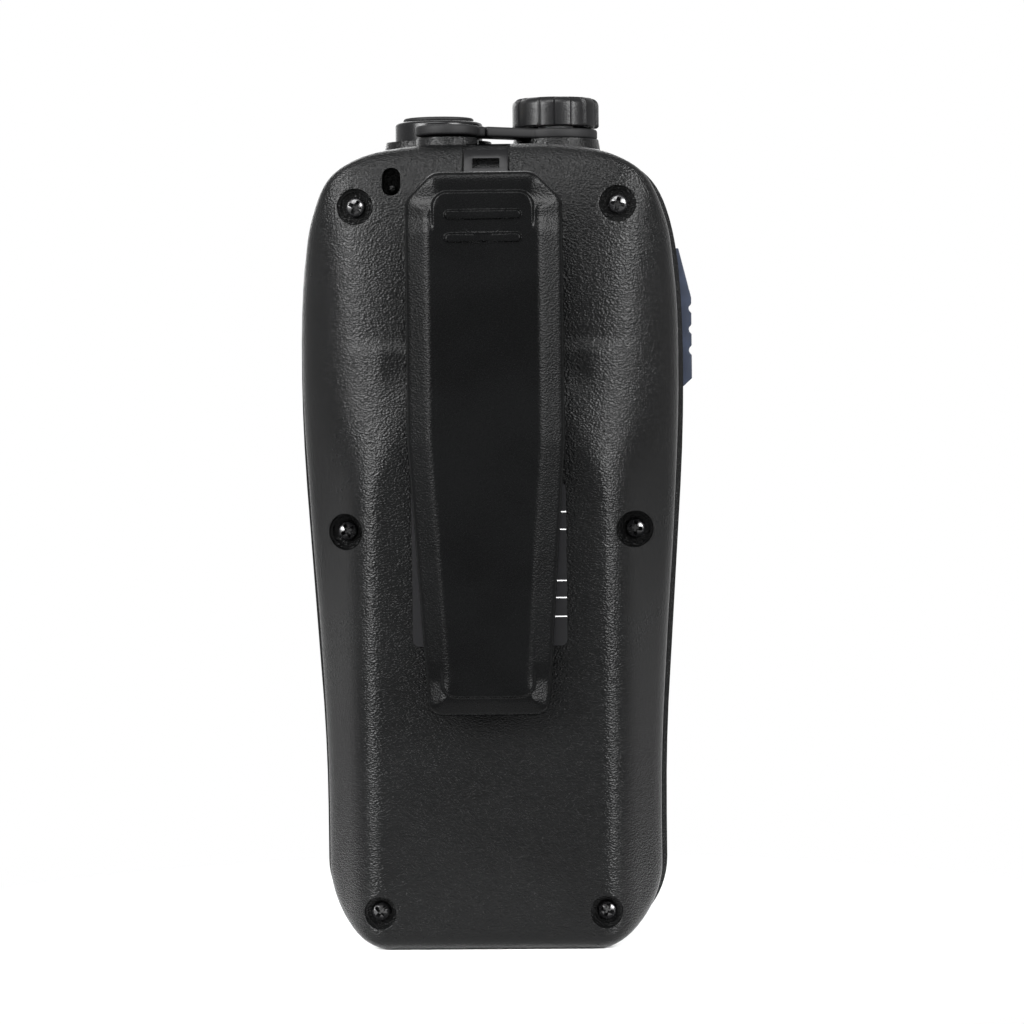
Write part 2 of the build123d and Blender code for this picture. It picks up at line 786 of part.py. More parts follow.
lcd_front = inner_front + lcd_gap
lcd_back = lcd_front + lcd_thick
with BuildPart() as lcd_frame:
    slab(
        lcd_width + 2 * (lcd_holder + bore_gap), lcd_height + 2 * (lcd_holder + bore_gap),
        board_front, inner_front, 0, display_z, small_corner,
    )
    slab(
        lcd_width + 2 * bore_gap, lcd_height + 2 * bore_gap,
        board_front, lcd_front, 0, display_z, mode=Mode.SUBTRACT,
    )
    slab(
        lcd_width - 2 * lcd_holder, lcd_height - 2 * lcd_holder,
        lcd_front, inner_front, 0, display_z, mode=Mode.SUBTRACT,
    )
write("lcd_frame", lcd_frame.part)

with BuildPart() as lcd_panel:
    slab(lcd_width, lcd_height, lcd_back, lcd_front, 0, display_z)
write("lcd_panel", lcd_panel.part)

with BuildPart() as light_guide:
    slab(lcd_width, lcd_height, board_front, lcd_back, 0, display_z)
write("light_guide", light_guide.part)

# ---- Keypad ----
mat_half_x = key_pitch_x + key_width / 2 + mat_margin
mat_half_z = key_pitch_z + key_height / 2 + mat_margin
key_back = inner_front + slide_gap
web_front = key_back + key_flange_thick + key_travel + bore_gap
with BuildPart() as keypad_mat:
    slab(2 * mat_half_x, 2 * mat_half_z, board_front, inner_front, 0, keypad_z, soft_corner)
    slab(
        2 * (mat_half_x - mat_wall), 2 * (mat_half_z - mat_wall),
        web_front, inner_front, 0, keypad_z, small_corner, mode=Mode.SUBTRACT,
    )
    slab(
        2 * (mat_half_x - mat_wall), 2 * (mat_half_z - mat_wall),
        board_front, web_front + mat_thick, 0, keypad_z, small_corner, mode=Mode.SUBTRACT,
    )
    rods(
        list(key_places.values()), stem_radius + part_gap, web_front + mat_thick, web_front,
        mode=Mode.SUBTRACT,
    )
write("keypad_mat", keypad_mat.part)

stem_tip = board_front - dome_height - key_travel - bore_gap
for name, (x, z) in key_places.items():
    with BuildPart() as key:
        slab(key_width, key_height, key_back, -front_depth - key_proud, x, z, key_corner)
        fillet(key.faces().sort_by(Axis.Y)[0].edges(), key_proud / 2)
        slab(
            key_width + 2 * key_flange, key_height + 2 * key_flange,
            key_back + key_flange_thick, key_back, x, z, key_corner,
        )
        rods([(x, z)], stem_radius, stem_tip, key_back)
    write(f"key_{name}", key.part)

# ---- Push-to-talk ----
ptt_face = -(body_half + ptt_out)
ptt_back = pocket_floor - ptt_travel - slide_gap
ptt_low, ptt_high = ptt_z - ptt_height / 2, ptt_z + ptt_height / 2
with BuildPart() as ptt_button:
    with BuildSketch(at_y(ptt_y + ptt_width / 2)) as side_view:
        with BuildLine():
            Polyline(
                (ptt_back, ptt_low),
                (ptt_back, ptt_high),
                (ptt_face + ptt_out + ptt_sink, ptt_high),
                (ptt_face + notch_depth, ptt_high - ptt_ramp),
                (ptt_face, ptt_high - ptt_ramp - notch_pitch / 2),
                (ptt_face, ptt_low + ptt_heel),
                (ptt_face + ptt_out, ptt_low),
                close=True,
            )
        make_face()
        with Locations((ptt_face + notch_depth - notch_radius, ptt_high - ptt_ramp)):
            with GridLocations(1, notch_pitch, 1, notch_count, align=(Align.CENTER, Align.MAX)):
                Circle(notch_radius, mode=Mode.SUBTRACT)
    extrude(side_view.sketch, amount=ptt_width)
write("ptt_button", ptt_button.part)

plunger_tip = pad_inner + plunger_flange_gap + plunger_flange_thick + plunger_reach
with BuildPart() as ptt_plunger:
    slab(
        plunger_tip - ptt_back, plunger_height,
        ptt_y + plunger_width / 2, ptt_y - plunger_width / 2, (plunger_tip + ptt_back) / 2, ptt_z,
    )
    slab(
        plunger_flange_thick, plunger_height + 2 * plunger_flange,
        ptt_y + plunger_width / 2 + plunger_flange, ptt_y - plunger_width / 2 - plunger_flange,
        pad_inner + plunger_flange_gap + plunger_flange_thick / 2, ptt_z,
    )
write("ptt_plunger", ptt_plunger.part)

switch_left = plunger_tip + ptt_travel + bore_gap
with BuildPart() as ptt_switch:
    slab(
        switch_width, switch_height, board_back + switch_depth, board_back,
        switch_left + switch_width / 2, ptt_z,
    )
write("ptt_switch", ptt_switch.part)

# ---- Speaker ----
membrane_back = inner_front + membrane_thick
speaker_back = inner_front + speaker_depth
with BuildPart() as speaker_membrane:
    rods([(0, speaker_z)], speaker_radius, membrane_back, inner_front)
write("speaker_membrane", speaker_membrane.part)

basket_floor = speaker_back - basket_wall
magnet_front = basket_floor - magnet_depth
with BuildPart() as speaker_frame:
    rods([(0, speaker_z)], speaker_radius, speaker_back, membrane_back)
    rods([(0, speaker_z)], speaker_radius - basket_wall, basket_floor, membrane_back, mode=Mode.SUBTRACT)
    rods([(0, speaker_z)], magnet_radius + bore_gap, speaker_back, basket_floor, mode=Mode.SUBTRACT)
write("speaker_frame", speaker_frame.part)

cone_mouth = speaker_radius - basket_wall - bore_gap
with BuildPart() as speaker_cone:
    with BuildSketch(Plane(origin=(0, 0, speaker_z), x_dir=(0, 1, 0), z_dir=(1, 0, 0))):
        with BuildLine():
            Polyline(
                (membrane_back + cone_gap, 0),
                (membrane_back + cone_gap, cone_mouth),
                (membrane_back + cone_gap + cone_thick, cone_mouth),
                (magnet_front - cone_gap, magnet_radius / 2),
                (magnet_front - cone_gap, 0),
                close=True,
            )
        make_face()
    revolve(axis=Axis((0, 0, speaker_z), (0, 1, 0)))
write("speaker_cone", speaker_cone.part)

with BuildPart() as speaker_magnet:
    rods([(0, speaker_z)], magnet_radius, speaker_back, magnet_front)
write("speaker_magnet", speaker_magnet.part)

# ---- Microphone ----
capsule_front = inner_front + boot_wall
with BuildPart() as microphone_capsule:
    rods(microphone_at, capsule_radius, capsule_front + capsule_thick, capsule_front)
write("microphone_capsule", microphone_capsule.part)

with BuildPart() as microphone_boot:
    rods(microphone_at, capsule_radius + boot_wall, board_front, inner_front)
    rods(microphone_at, capsule_radius, capsule_front + capsule_thick, capsule_front, mode=Mode.SUBTRACT)
    rods(microphone_at, sound_hole, capsule_front, inner_front, mode=Mode.SUBTRACT)
    rods(
        microphone_at, capsule_radius - boot_wall, board_front, capsule_front + capsule_thick,
        mode=Mode.SUBTRACT,
    )
write("microphone_boot", microphone_boot.part)

# ---- Antenna port ----
with BuildPart() as antenna_collar:
    post(antenna_x, antenna_y, collar_radius, collar_seat, collar_top)
    fillet(antenna_collar.faces().sort_by(Axis.Z)[-1].edges(), collar_round)
    post(antenna_x, antenna_y, barrel_radius + bore_gap, collar_seat, collar_top, mode=Mode.SUBTRACT)
write("antenna_collar", antenna_collar.part)

ring_top = collar_top + ring_height
with BuildPart() as antenna_seal:
    post(antenna_x, antenna_y, ring_radius, collar_top, ring_top)
    fillet(antenna_seal.faces().sort_by(Axis.Z)[-1].edges(), ring_height / 2)
    post(antenna_x, antenna_y, barrel_radius + bore_gap, collar_top, ring_top, mode=Mode.SUBTRACT)
write("antenna_seal", antenna_seal.part)

with BuildPart() as antenna_connector:
    post(antenna_x, antenna_y, barrel_radius, barrel_bottom, ring_top)
    post(antenna_x, antenna_y, thread_radius, ring_top - thread_depth, ring_top, mode=Mode.SUBTRACT)
    post(antenna_x, antenna_y, insulator_radius, barrel_bottom, ring_top, mode=Mode.SUBTRACT)
write("antenna_connector", antenna_connector.part)

with BuildPart() as antenna_insulator:
    post(antenna_x, antenna_y, insulator_radius, barrel_bottom, ring_top - thread_depth)
    post(antenna_x, antenna_y, contact_pin_radius, barrel_bottom, ring_top, mode=Mode.SUBTRACT)
write("antenna_insulator", antenna_insulator.part)

with BuildPart() as antenna_contact:
    post(
        antenna_x, antenna_y, contact_pin_radius,
        barrel_bottom - contact_tail, ring_top - thread_depth,
    )
write("antenna_contact", antenna_contact.part)

with BuildPart() as antenna_nut:
    with BuildSketch(Plane.XY.offset(antenna_nut_seat - nut_height)) as hexagon:
        with Locations((antenna_x, antenna_y)):
            RegularPolygon(nut_radius, 6)
            Circle(barrel_radius, mode=Mode.SUBTRACT)
    extrude(hexagon.sketch, amount=nut_height)
write("antenna_nut", antenna_nut.part)

# ---- Volume control ----
gasket_bottom = control_seat - gasket_thick
with BuildPart() as control_gasket:
    post(knob_x, knob_y, control_radius, gasket_bottom, control_seat)
    post(knob_x, knob_y, bush_radius + bore_gap, gasket_bottom, control_seat, mode=Mode.SUBTRACT)
write("control_gasket", control_gasket.part)

bush_top = nut_seat + control_nut_height
with BuildPart() as control_body:
    post(knob_x, knob_y, control_radius, gasket_bottom - control_height, gasket_bottom)
    post(knob_x, knob_y, bush_radius, gasket_bottom, bush_top)
    post(knob_x, knob_y, shaft_radius + bore_gap, gasket_bottom - shaft_foot, bush_top, mode=Mode.SUBTRACT)
write("control_body", control_body.part)

with BuildPart() as control_shaft:
    post(knob_x, knob_y, shaft_radius, gasket_bottom - shaft_foot, shaft_top)
    with BuildSketch(Plane.XY.offset(bush_top + part_gap)) as shaft_flat:
        with Locations((knob_x, knob_y - shaft_radius)):
            Rectangle(2 * shaft_radius, 2 * shaft_cut)
    extrude(shaft_flat.sketch, amount=shaft_top - bush_top, mode=Mode.SUBTRACT)
write("control_shaft", control_shaft.part)

with BuildPart() as control_nut:
    with BuildSketch(Plane.XY.offset(nut_seat)) as hexagon:
        with Locations((knob_x, knob_y)):
            RegularPolygon(control_nut_radius, 6)
            Circle(bush_radius, mode=Mode.SUBTRACT)
    extrude(hexagon.sketch, amount=control_nut_height)
write("control_nut", control_nut.part)

with BuildPart() as volume_knob:
    post(knob_x, knob_y, knob_radius, knob_bottom, knob_top)
    fillet(volume_knob.faces().sort_by(Axis.Z)[-1].edges(), knob_shoulder)
    with BuildSketch(Plane.XY.offset(knob_bottom)) as flutes:
        with Locations((knob_x, knob_y)):
            with PolarLocations(knob_radius + flute_radius - flute_depth, flute_count, flute_turn):
                Circle(flute_radius)
    extrude(flutes.sketch, amount=knob_top - knob_bottom, mode=Mode.SUBTRACT)
    post(knob_x, knob_y, knob_cavity, knob_bottom, knob_bottom + knob_cavity_height, mode=Mode.SUBTRACT)
    with BuildSketch(Plane.XY.offset(knob_bottom)) as shaft_bore:
        with Locations((knob_x, knob_y)):
            Circle(shaft_radius)
        with Locations((knob_x, knob_y - shaft_radius)):
            Rectangle(2 * shaft_radius, 2 * shaft_cut, mode=Mode.SUBTRACT)
    extrude(shaft_bore.sketch, amount=shaft_top - knob_bottom, mode=Mode.SUBTRACT)
write("volume_knob", volume_knob.part)

# ---- Accessory jack, strap and dust cap ----
jack_top = jack_boss_top - jack_recess_depth
with BuildPart() as jack_socket:
    post(jack_x, jack_y, jack_radius, jack_bottom, jack_top)
    post(jack_x, jack_y, jack_bore, jack_top - jack_bore_depth, jack_top, mode=Mode.SUBTRACT)
write("jack_socket", jack_socket.part)

strap_run = sqrt((knob_x - jack_x) ** 2 + (knob_y - jack_y) ** 2)
strap_plane = Plane(
    origin=(jack_x, jack_y, strap_bottom), x_dir=(knob_x - jack_x, knob_y - jack_y, 0), z_dir=(0, 0, 1)
)
strap_thick = strap_top - strap_bottom
with BuildPart() as cap_strap:
    with BuildSketch(strap_plane):
        with Locations((strap_run, 0)):
            Circle(strap_ring)
        with Locations(((hinge_reach + strap_run) / 2, 0)):
            Rectangle(strap_run - hinge_reach, strap_width)
        with Locations((strap_run, 0)):
            Circle(neck_radius + bore_gap, mode=Mode.SUBTRACT)
    extrude(amount=strap_thick)
write("cap_strap", cap_strap.part)

with BuildPart() as dust_cap:
    with BuildSketch(strap_plane):
        Circle(cap_radius)
        with Locations(((hinge_reach - hinge_gap) / 2, 0)):
            Rectangle(hinge_reach - hinge_gap, strap_width)
    extrude(amount=strap_thick)
    post(jack_x, jack_y, cap_plug, strap_bottom - cap_plug_depth, strap_bottom)
write("dust_cap", dust_cap.part)

# ---- Belt clip bracket ----
with BuildPart() as bracket_tab:
    slab(
        2 * tab_half, body_height - tab_bottom, rear_depth + lap, tab_front,
        0, (body_height + tab_bottom) / 2,
    )
    add(rear_form(tab_depth), mode=Mode.SUBTRACT)
    slab(
        2 * window_half, window_height, rear_depth, tab_front, 0, window_z, mode=Mode.SUBTRACT,
    )
tab_pieces = within(rear_outer, bracket_tab)
with BuildPart() as clip_bracket:
    for piece in tab_pieces:
        add(piece)
    slab(
        2 * bracket_half, bracket_top - bracket_bottom, bracket_back, channel_floor,
        0, (bracket_top + bracket_bottom) / 2, small_corner,
    )
    for side in (-1, 1):
        ear_x = side * (ear_half - ear_thick / 2)
        slab(
            ear_thick, 2 * lug_radius, pin_y, bracket_back, ear_x, pin_z,
        )
        bar(pin_y, pin_z, lug_radius, ear_x - ear_thick / 2, ear_x + ear_thick / 2)
    bar(pin_y, pin_z, pin_radius, -ear_half, ear_half, mode=Mode.SUBTRACT)
    rods(bracket_screws_at, bracket_shank + bore_gap, bracket_back, channel_floor, mode=Mode.SUBTRACT)
write("clip_bracket", clip_bracket.part)

# ---- Belt clip arm ----
clip_shoulder = clip_top_half - clip_corner
clip_base = clip_outer - clip_bevel_drop - clip_edge
clip_inner = clip_outer - clip_thick
bevel_angle = degrees(atan2(clip_bevel, clip_bevel_drop))


def clip_outline():
    """Outline of the clip arm seen from behind."""
    with BuildSketch(Plane.XZ) as outline:
        with BuildLine():
            Polyline(
                (0, clip_top),
                (clip_shoulder, clip_top),
                (clip_top_half, clip_top - clip_corner),
                (clip_top_half, clip_taper_z),
                (clip_bottom_half, clip_bottom + clip_foot),
                (clip_bottom_half - clip_foot, clip_bottom),
                (0, clip_bottom),
            )
            mirror(about=Plane.YZ)
        make_face()
    return outline.sketch


with BuildPart() as clip_hollow:
    with BuildSketch(at_y(clip_base)) as mouth:
        add(clip_outline())
        offset(amount=-clip_side)
    extrude(mouth.sketch, amount=-(clip_inner - clip_base), taper=bevel_angle / 2)
with BuildPart() as clip_arm:
    with BuildSketch(at_y(clip_base + clip_edge)) as plate:
        add(clip_outline())
    extrude(plate.sketch, amount=clip_edge)
    extrude(plate.sketch, amount=-clip_bevel_drop, taper=bevel_angle)
    add(clip_hollow.part, mode=Mode.SUBTRACT)
    for z in (clip_top - ridge_low, clip_top - ridge_high):
        slab(
            ridge_width, ridge_height, clip_outer + ridge_proud, clip_inner + lap,
            0, z, ridge_corner,
        )
    slab(
        2 * toe_half, toe_height, clip_inner + lap, rear_depth + toe_gap,
        0, clip_bottom + toe_height / 2 + clip_foot,
    )
    for side in (-1, 1):
        lug_x = side * (ear_half + ear_gap + lug_thick / 2)
        slab(lug_thick, 2 * lug_radius, clip_inner + lap, pin_y, lug_x, pin_z)
        bar(pin_y, pin_z, lug_radius, lug_x - lug_thick / 2, lug_x + lug_thick / 2)
    pin_end = ear_half + ear_gap + lug_thick
    bar(pin_y, pin_z, pin_radius + bore_gap, -pin_end, pin_end, mode=Mode.SUBTRACT)
write("clip_arm", clip_arm.part)

with BuildPart() as clip_pin:
    bar(pin_y, pin_z, pin_radius, -pin_end, pin_end)
write("clip_pin", clip_pin.part)

with BuildPart() as clip_spring:
    bar(pin_y, pin_z, spring_radius, -spring_half, spring_half)
    for side, rests_on in ((1, clip_inner), (-1, bracket_back)):
        leg_y = rests_on - side * (part_gap + spring_wire)
        leg_x = side * (spring_half - spring_wire / 2)
        with BuildSketch(Plane.YZ.offset(leg_x - spring_wire / 2)) as leg:
            with BuildLine():
                Line(
                    (pin_y + side * (spring_radius - spring_wire / 2), pin_z),
                    (leg_y, bracket_top - spring_wire),
                )
            trace(line_width=spring_wire)
        extrude(leg.sketch, amount=spring_wire)
    bar(pin_y, pin_z, spring_radius - spring_wire, -spring_half, spring_half, mode=Mode.SUBTRACT)
write("clip_spring", clip_spring.part)

write(
    "bracket_screws",
    screws(
        [(x, z, bracket_back) for x, z in bracket_screws_at],
        2 * bracket_shank, 2 * bracket_head, bracket_head_height, bracket_screw_length,
    ),
)

# ---- Rating label ----
with BuildPart() as rating_label:
    slab(2 * label_half, label_height, rear_depth + label_thick, rear_depth, 0, label_z, label_corner)
write("rating_label", rating_label.part)
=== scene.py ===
"""Looks of a handheld marine VHF radio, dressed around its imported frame.

The radio stands on its flat base. Its belt clip faces +Y, its display and keys face -Y, and the talk
button is on -X. Sizes in the classes below are millimetres; meshes are scaled to metres when they are
finished.
"""

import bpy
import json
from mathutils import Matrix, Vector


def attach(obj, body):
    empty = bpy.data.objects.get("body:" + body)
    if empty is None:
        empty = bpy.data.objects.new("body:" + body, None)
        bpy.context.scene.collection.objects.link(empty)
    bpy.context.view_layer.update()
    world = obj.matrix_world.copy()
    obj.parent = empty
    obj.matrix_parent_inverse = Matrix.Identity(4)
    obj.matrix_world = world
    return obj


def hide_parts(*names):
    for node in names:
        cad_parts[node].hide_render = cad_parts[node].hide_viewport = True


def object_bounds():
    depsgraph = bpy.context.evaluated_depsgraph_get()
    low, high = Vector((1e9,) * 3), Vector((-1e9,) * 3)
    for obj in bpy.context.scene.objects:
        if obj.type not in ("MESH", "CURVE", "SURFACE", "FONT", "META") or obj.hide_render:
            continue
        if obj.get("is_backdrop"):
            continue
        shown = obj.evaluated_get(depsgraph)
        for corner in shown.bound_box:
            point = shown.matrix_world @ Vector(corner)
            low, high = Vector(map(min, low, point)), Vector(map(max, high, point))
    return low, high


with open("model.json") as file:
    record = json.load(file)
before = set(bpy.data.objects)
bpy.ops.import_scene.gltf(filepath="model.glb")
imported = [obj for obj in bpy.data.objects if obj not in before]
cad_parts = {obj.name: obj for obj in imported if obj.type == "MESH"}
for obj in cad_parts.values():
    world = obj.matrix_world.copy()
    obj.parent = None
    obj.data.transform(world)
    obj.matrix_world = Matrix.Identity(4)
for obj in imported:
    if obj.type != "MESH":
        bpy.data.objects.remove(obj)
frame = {"nodes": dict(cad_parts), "record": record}
SLOTS = {entry["node"]: entry["material_slot"] for entry in frame["record"]["subparts"]}
CAD_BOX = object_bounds()

import json
import logging
import math
from collections.abc import Callable, Iterable
from dataclasses import dataclass
from enum import Enum, IntEnum

import bmesh
import bpy
from mathutils import Matrix, Vector, kdtree
from mathutils.geometry import interpolate_bezier

logging.basicConfig(level=logging.INFO, format="%(name)s: %(message)s")
LOG = logging.getLogger("radio")

MM = 0.001

Place = tuple[float, float]
Point = tuple[float, float, float]
Colour = tuple[float, float, float]
Field = Callable[[float, float], float]
Verts = list[bmesh.types.BMVert]
Faces = list[bmesh.types.BMFace]


# ---- Shader maths ----


def math_method(operation: str, reflected: bool = False) -> Callable[["Signal", object], "Signal"]:
    """Makes a method of a signal that adds one Math node.

    Args:
        operation: Blender's name of the operation.
        reflected: Whether the other value comes before the signal.

    Returns:
        The method, which takes the other signal or number and returns the node's result.
    """
    def method(signal: "Signal", other: object) -> "Signal":
        """Adds the node."""
        pair = (other, signal) if reflected else (signal, other)
        return signal.tree.node("ShaderNodeMath", {"operation": operation}, dict(enumerate(pair)))

    return method


class Signal:
    """A shader socket that takes part in arithmetic."""

    __add__ = __radd__ = math_method("ADD")
    __sub__ = math_method("SUBTRACT")
    __rsub__ = math_method("SUBTRACT", reflected=True)
    __mul__ = __rmul__ = math_method("MULTIPLY")
    __pow__ = math_method("POWER")
    above = math_method("GREATER_THAN")      # 1 where the signal is above a level, else 0
    most = math_method("MAXIMUM")

    def __init__(self, tree: "NodeTree", socket: bpy.types.NodeSocket) -> None:
        """Keeps the socket and the tree it belongs to."""
        self.tree = tree
        self.socket = socket

    def size(self) -> "Signal":
        """The signal without its sign."""
        return self.tree.node("ShaderNodeMath", {"operation": "ABSOLUTE"}, {0: self})

    def between(self, low: float, high: float) -> "Signal":
        """The signal's place between two levels, from 0 to 1, eased at both ends."""
        settings = {"interpolation_type": "SMOOTHSTEP"}
        return self.tree.node("ShaderNodeMapRange", settings, {0: self, 1: low, 2: high})

    def beside(self, output: str) -> "Signal":
        """Another output of the signal's node."""
        return Signal(self.tree, self.socket.node.outputs[output])


class NodeTree:
    """The shader nodes of a material or a world."""

    def __init__(self, owner: bpy.types.ID) -> None:
        """Turns the owner's nodes on."""
        owner.use_nodes = True
        self.nodes, self.links = owner.node_tree.nodes, owner.node_tree.links

    def node(
        self,
        kind: str,
        settings: dict[str, object] | None = None,
        sockets: dict[int | str, object] | None = None,
        output: int | str = 0,
    ) -> Signal:
        """Adds a node, sets it up and feeds its sockets.

        Args:
            kind: The node's type.
            settings: Its properties.
            sockets: Values or signals by socket name or number.
            output: The output to return.

        Returns:
            The chosen output.
        """
        made = self.nodes.new(kind)
        for key, value in (settings or {}).items():
            setattr(made, key, value)
        for key, value in (sockets or {}).items():
            self.feed(made.inputs[key], value)
        return Signal(self, made.outputs[output])

    def feed(self, socket: bpy.types.NodeSocket, value: object) -> None:
        """Links a signal to a socket, or sets the socket's own value.

        Args:
            socket: The input.
            value: A signal, a number, a vector or a colour.
        """
        if isinstance(value, Signal):
            self.links.new(value.socket, socket)
        elif isinstance(value, tuple) and socket.type == "RGBA":
            socket.default_value = (*value, 1.0)
        else:
            socket.default_value = value

    def show(self, end: str, rays: Signal, first: Signal, second: Signal) -> None:
        """Feeds the tree's output with one of two shaders.

        Args:
            end: Name of the output node.
            rays: Share of the second shader.
            first: The shader at a share of 0.
            second: The shader at a share of 1.
        """
        mixed = self.node("ShaderNodeMixShader", {}, {0: rays, 1: first, 2: second})
        self.feed(self.nodes[end].inputs["Surface"], mixed)

    def seen(self) -> Signal:
        """1 for rays from the camera, from gloss and through clear parts, else 0."""
        rays = self.node("ShaderNodeLightPath", output="Is Camera Ray")
        return rays.most(rays.beside("Is Glossy Ray")).most(rays.beside("Is Transmission Ray"))


class ShaderTree(NodeTree):
    """The nodes of a material with a Principled shader."""

    def __init__(self, name: str) -> None:
        """Starts the material.

        Args:
            name: Its name.
        """
        self.material = bpy.data.materials.new(name)
        super().__init__(self.material)
        self.shader = self.nodes["Principled BSDF"]

    def set(self, **sockets: object) -> None:
        """Sets or links sockets of the shader, spaces in their names as underscores."""
        for key, value in sockets.items():
            self.feed(self.shader.inputs[key.replace("_", " ")], value)

    def place(self, scale: float = 1.0, stretch: Point = (1, 1, 1)) -> Signal:
        """Object coordinates in millimetres, times a scale.

        Args:
            scale: Pattern repeats per millimetre.
            stretch: Extra factors along X, Y and Z.

        Returns:
            The scaled vector.
        """
        at = self.node("ShaderNodeTexCoord", output="Object")
        factors = tuple(scale * s / MM for s in stretch)
        return self.node("ShaderNodeMapping", {}, {"Vector": at, "Scale": factors})

    def across_and_up(self) -> tuple[Signal, Signal]:
        """X and Z of the object coordinates, in millimetres."""
        across = self.node("ShaderNodeSeparateXYZ", {}, {"Vector": self.place()})
        return across, across.beside("Z")

    def noise(self, at: Signal, scale: float = 1.0, detail: float = 2.0, rough: float = 0.5) -> Signal:
        """Soft noise from 0 to 1 around 0.5."""
        sockets = {"Vector": at, "Scale": scale, "Detail": detail, "Roughness": rough}
        return self.node("ShaderNodeTexNoise", {}, sockets)

    def cells(self, at: Signal, scale: float) -> Signal:
        """Distance to the nearest of scattered points, smooth where cells meet."""
        sockets = {"Vector": at, "Scale": scale, "Smoothness": 0.6}
        return self.node("ShaderNodeTexVoronoi", {"feature": "SMOOTH_F1"}, sockets)

    def mix(self, share: Signal, first: Colour, second: Colour) -> Signal:
        """Colour between two colours."""
        return self.node("ShaderNodeMix", {"data_type": "RGBA"}, {0: share, 6: first, 7: second}, 2)

    def relief(self, height: Signal, depth: float) -> Signal:
        """The normal of a bump whose height of 1 stands for a depth in millimetres."""
        sockets = {"Height": height, "Distance": depth * MM, "Strength": 1.0}
        return self.node("ShaderNodeBump", {}, sockets)


# ---- Finishes ----


def shade(colour: Colour, factor: float, lift: float = 0.0) -> Colour:
    """A lighter or darker colour."""
    return tuple(min(channel * factor + lift, 1.0) for channel in colour)


@dataclass(frozen=True)
class Finish:
    """A surface, named for the record's slot that wears it."""

    name: str

    def build(self) -> bpy.types.Material:
        """Makes the material.

        Returns:
            The material.
        """
        tree = ShaderTree(self.name)
        self.dress(tree)
        return tree.material

    def dress(self, tree: ShaderTree) -> None:
        """Sets the shader of the material's tree."""
        raise NotImplementedError


@dataclass(frozen=True)
class GrainedPlastic(Finish):
    """Moulded plastic with a leather-like grain from its mould."""

    colour: Colour
    roughness: float
    grain: float         # width of one pebble of the grain
    depth: float
    gloss: float         # specular level
    stretch: Point = (0.78, 1.0, 1.2)

    def dress(self, tree: ShaderTree) -> None:
        """Sets the shader.

        Args:
            tree: The material's tree.
        """
        at = tree.place(stretch=self.stretch)
        pebbles = tree.cells(at, scale=1 / self.grain)
        swell = tree.noise(at, scale=0.45 / self.grain, detail=3.0, rough=0.6)
        fine = tree.noise(at, scale=3.2 / self.grain)
        patches = tree.noise(at, scale=0.05, detail=3.0, rough=0.55)
        darker, lighter = shade(self.colour, 0.8), shade(self.colour, 1.25)
        tree.set(
            Base_Color=tree.mix(patches.between(0.35, 0.65), darker, lighter),
            Roughness=self.roughness - 0.06 + patches * 0.08 + pebbles * 0.06,
            Specular_IOR_Level=self.gloss,
            Normal=tree.relief(pebbles * 0.8 + swell * 0.1 + fine * 0.22, self.depth),
        )


@dataclass(frozen=True)
class SmoothPlastic(Finish):
    """Moulded plastic without a grain, with faint flow and handling marks."""

    colour: Colour
    roughness: float
    gloss: float = 0.5
    depth: float = 0.004

    def dress(self, tree: ShaderTree) -> None:
        """Sets the shader.

        Args:
            tree: The material's tree.
        """
        at = tree.place()
        patches = tree.noise(at, scale=0.12, detail=3.0)
        fine = tree.noise(at, scale=4.0, detail=3.0)
        darker, lighter = shade(self.colour, 0.86), shade(self.colour, 1.18)
        tree.set(
            Base_Color=tree.mix(patches.between(0.35, 0.65), darker, lighter),
            Roughness=self.roughness - 0.05 + patches * 0.1,
            Specular_IOR_Level=self.gloss,
            Normal=tree.relief(fine, self.depth),
        )


@dataclass(frozen=True)
class Rubber(Finish):
    """Soft matte rubber with a dusty bloom."""

    colour: Colour
    roughness: float = 0.62
    depth: float = 0.012

    def dress(self, tree: ShaderTree) -> None:
        """Sets the shader.

        Args:
            tree: The material's tree.
        """
        at = tree.place()
        bloom = tree.noise(at, scale=0.35, detail=4.0, rough=0.6)
        fine = tree.noise(at, scale=5.0, detail=3.0)
        dusty = shade(self.colour, 1.4, 0.001)
        tree.set(
            Base_Color=tree.mix(bloom.between(0.4, 0.75), self.colour, dusty),
            Roughness=self.roughness + bloom * 0.12 - 0.05,
            Specular_IOR_Level=0.15,
            Normal=tree.relief(fine, self.depth),
        )


@dataclass(frozen=True)
class Metal(Finish):
    """Bare or plated metal with fine drawn marks along one direction."""

    colour: Colour
    roughness: float
    stretch: Point = (1.0, 1.0, 0.08)

    def dress(self, tree: ShaderTree) -> None:
        """Sets the shader.

        Args:
            tree: The material's tree.
        """
        marks = tree.noise(tree.place(6.0, self.stretch), detail=3.0, rough=0.6)
        stains = tree.noise(tree.place(), scale=0.4, detail=3.0)
        duller = shade(self.colour, 0.78)
        tree.set(
            Base_Color=tree.mix(stains.between(0.3, 0.7), duller, self.colour),
            Metallic=1.0,
            Roughness=self.roughness - 0.06 + marks * 0.12 + stains * 0.06,
            Normal=tree.relief(marks, 0.004),
        )


